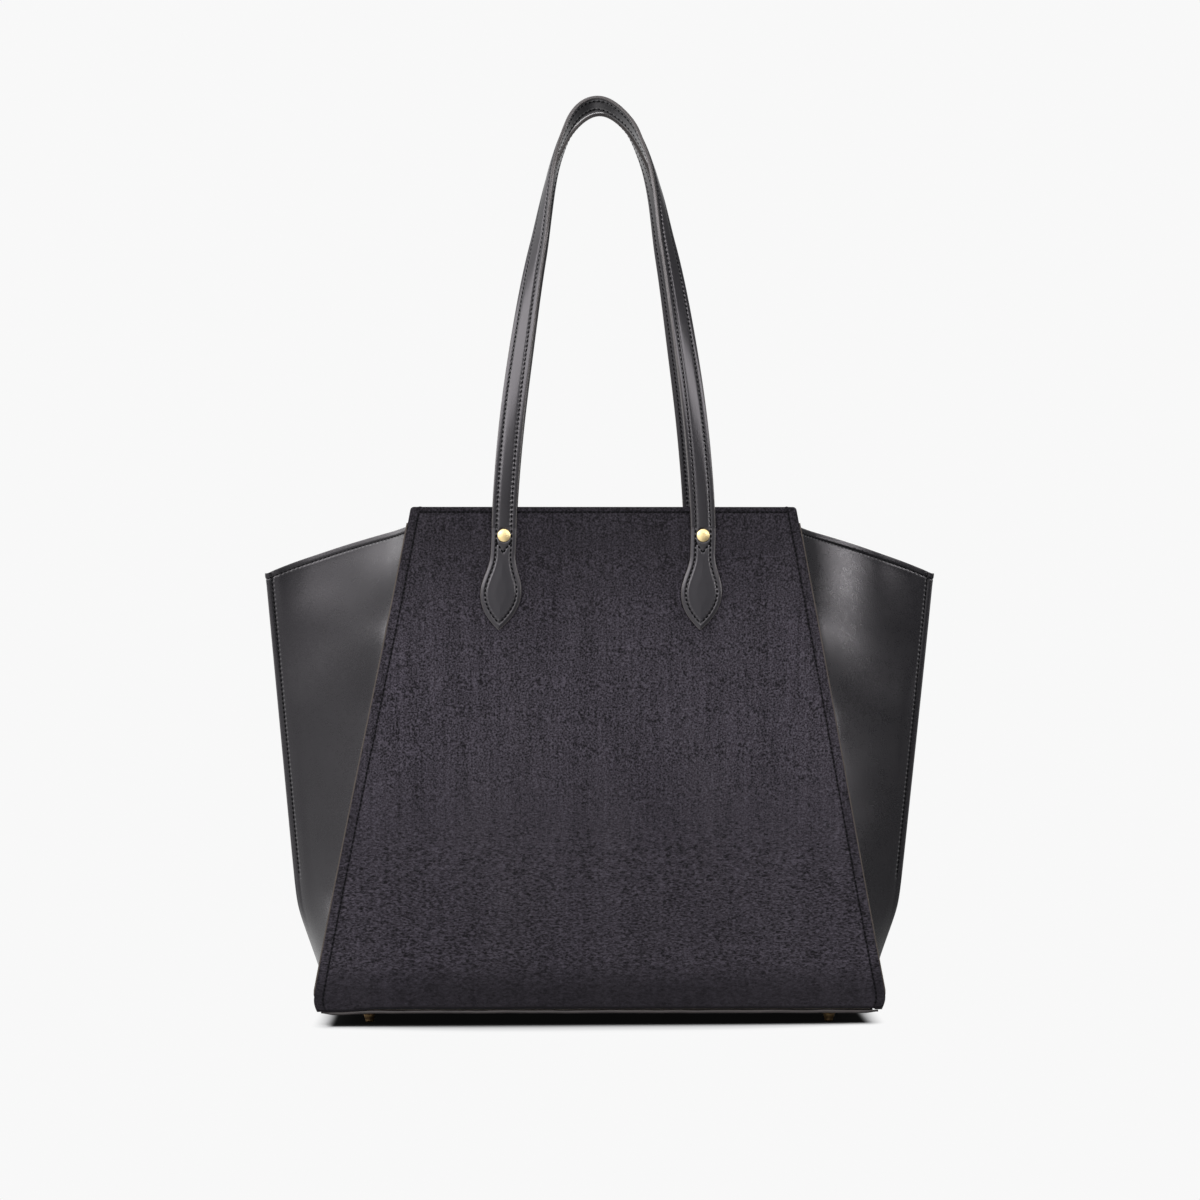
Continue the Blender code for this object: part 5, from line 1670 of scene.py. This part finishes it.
# %% Floor
FLOOR_SIZE = 120
FOOTPRINT = (0.1745, 0.0645)        # half the width and depth of the paper that is painted in full shade
FOOTPRINT_SKEW = 0.055
PAINTED_SHADOW_RIM = (0.0, 0.028)             # how far out the painted shadow goes from dark to pale
FADE_RIM = (0.004, 0.058)           # and how far out the backdrop takes over
bpy.ops.mesh.primitive_plane_add(size=FLOOR_SIZE)
floor = bpy.context.object
floor.name = "floor"
paper = Finish("paper_sweep", Roughness=0.9, Specular_IOR_Level=0)
skewed = (paper.axis(0), paper.axis(1) - paper.axis(0) * FOOTPRINT_SKEW)
beyond_x, beyond_y = (
    (place.math("ABSOLUTE") - half).math("MAXIMUM", 0) for place, half in zip(skewed, FOOTPRINT))
outward = (skewed[0] * skewed[0] / FOOTPRINT[0] ** 2).math("MINIMUM", 1)
beyond_y = beyond_y * (1 + outward * outward * 1.2)
beyond = (beyond_x * beyond_x * 12 + beyond_y * beyond_y).math("SQRT")
camera_ray, glossy_ray = rays(paper, "Camera", "Glossy")
# Painted shadow: the paper's colour drops to 2% under the bag's base.
paper.use(paper.shade((0.55, 0.55, 0.56), 0.02 + beyond.step(*PAINTED_SHADOW_RIM) * 0.98))
strength = camera_ray + glossy_ray * studio_tone(paper, paper.place) / PALE
glow = paper.node("ShaderNodeEmission", {"Color": (PALE, PALE, PALE, 1), "Strength": strength})
# Under the base the camera still sees a faint painted glow of the pale tone.
fade = 0.003 + beyond.step(*FADE_RIM) * 0.997
mixed = paper.node("ShaderNodeMixShader", {
    0: fade * (camera_ray + glossy_ray).math("MINIMUM", 1),
    1: Channel(paper, paper.shader.outputs[0]), 2: glow})
paper.tree.links.new(mixed.socket, paper.tree.nodes["Material Output"].inputs["Surface"])
floor.data.materials.append(paper.material)
print("floor:", floor.name)

# %% [markdown]
# ## The lamps
#
# What models black leather is where the lamps show in it. A broad soft box at the left front
# is the main light, and a low strip beside it lights the left wing's side. Two smaller ones
# stand at the right, two overhead boxes light rim, tabs and straps from above, and one behind
# lets the back be seen. Each is placed by its direction from the bag and by how wide it looks
# from there, since that sets the shape of its reflection.

# %% Lamps
LAMP_DISTANCE = 2.0
LAMP_TARGET = Vector((0, 0, 0.36))
LAMPS = (  # heading and rise, how wide and how tall it looks, all in degrees, and brightness
    ("left_softbox", -52, 26, 52, 26, 4.7),
    ("left_low_strip", -98, 13, 30, 15, 4.6),
    ("right_strip", 37, 26, 26, 20, 6.5),
    ("right_side_strip", 77, 9, 10, 12, 15.0),
    ("front_overhead", 0, 60, 50, 30, 1.4),
    ("top_softbox", 0, 88, 36, 36, 1.0),
    ("back_fill", 180, 38, 44, 26, 3.5))


def add_softbox(name, heading, rise, wide, tall, radiance):
    """A flat lamp that faces the bag."""
    lamp = bpy.data.lights.new(name, "AREA")
    lamp.shape = "RECTANGLE"
    lamp.size, lamp.size_y = (
        2 * LAMP_DISTANCE * math.tan(math.radians(angle / 2)) for angle in (wide, tall))
    lamp.energy = radiance * math.pi * lamp.size * lamp.size_y
    turn, lift = math.radians(heading), math.radians(rise)
    way = Vector((
        math.sin(turn) * math.cos(lift), -math.cos(turn) * math.cos(lift), math.sin(lift)))
    holder = bpy.data.objects.new(name, lamp)
    bpy.context.scene.collection.objects.link(holder)
    holder.location = LAMP_TARGET + way * LAMP_DISTANCE
    holder.rotation_euler = (-way).to_track_quat("-Z", "Y").to_euler()


for lamp in LAMPS:
    add_softbox(*lamp)
print(len(LAMPS), "lamps")

# %% Finish the CAD nodes that stay
FINISHES = (
    ("stiffener", BOARD), ("filler", BOARD), ("board", BOARD), ("washer", STEEL), ("snap", STEEL),
    ("rivet", GILT), ("foot", AGED_BRASS), ("pocket", LINING), ("lining", LINING))
for name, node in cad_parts.items():
    finish = next((material for word, material in FINISHES if word in name), LEATHER)
    for slot in node.material_slots:
        slot.material = finish
print("finishes given to", len(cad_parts), "nodes")
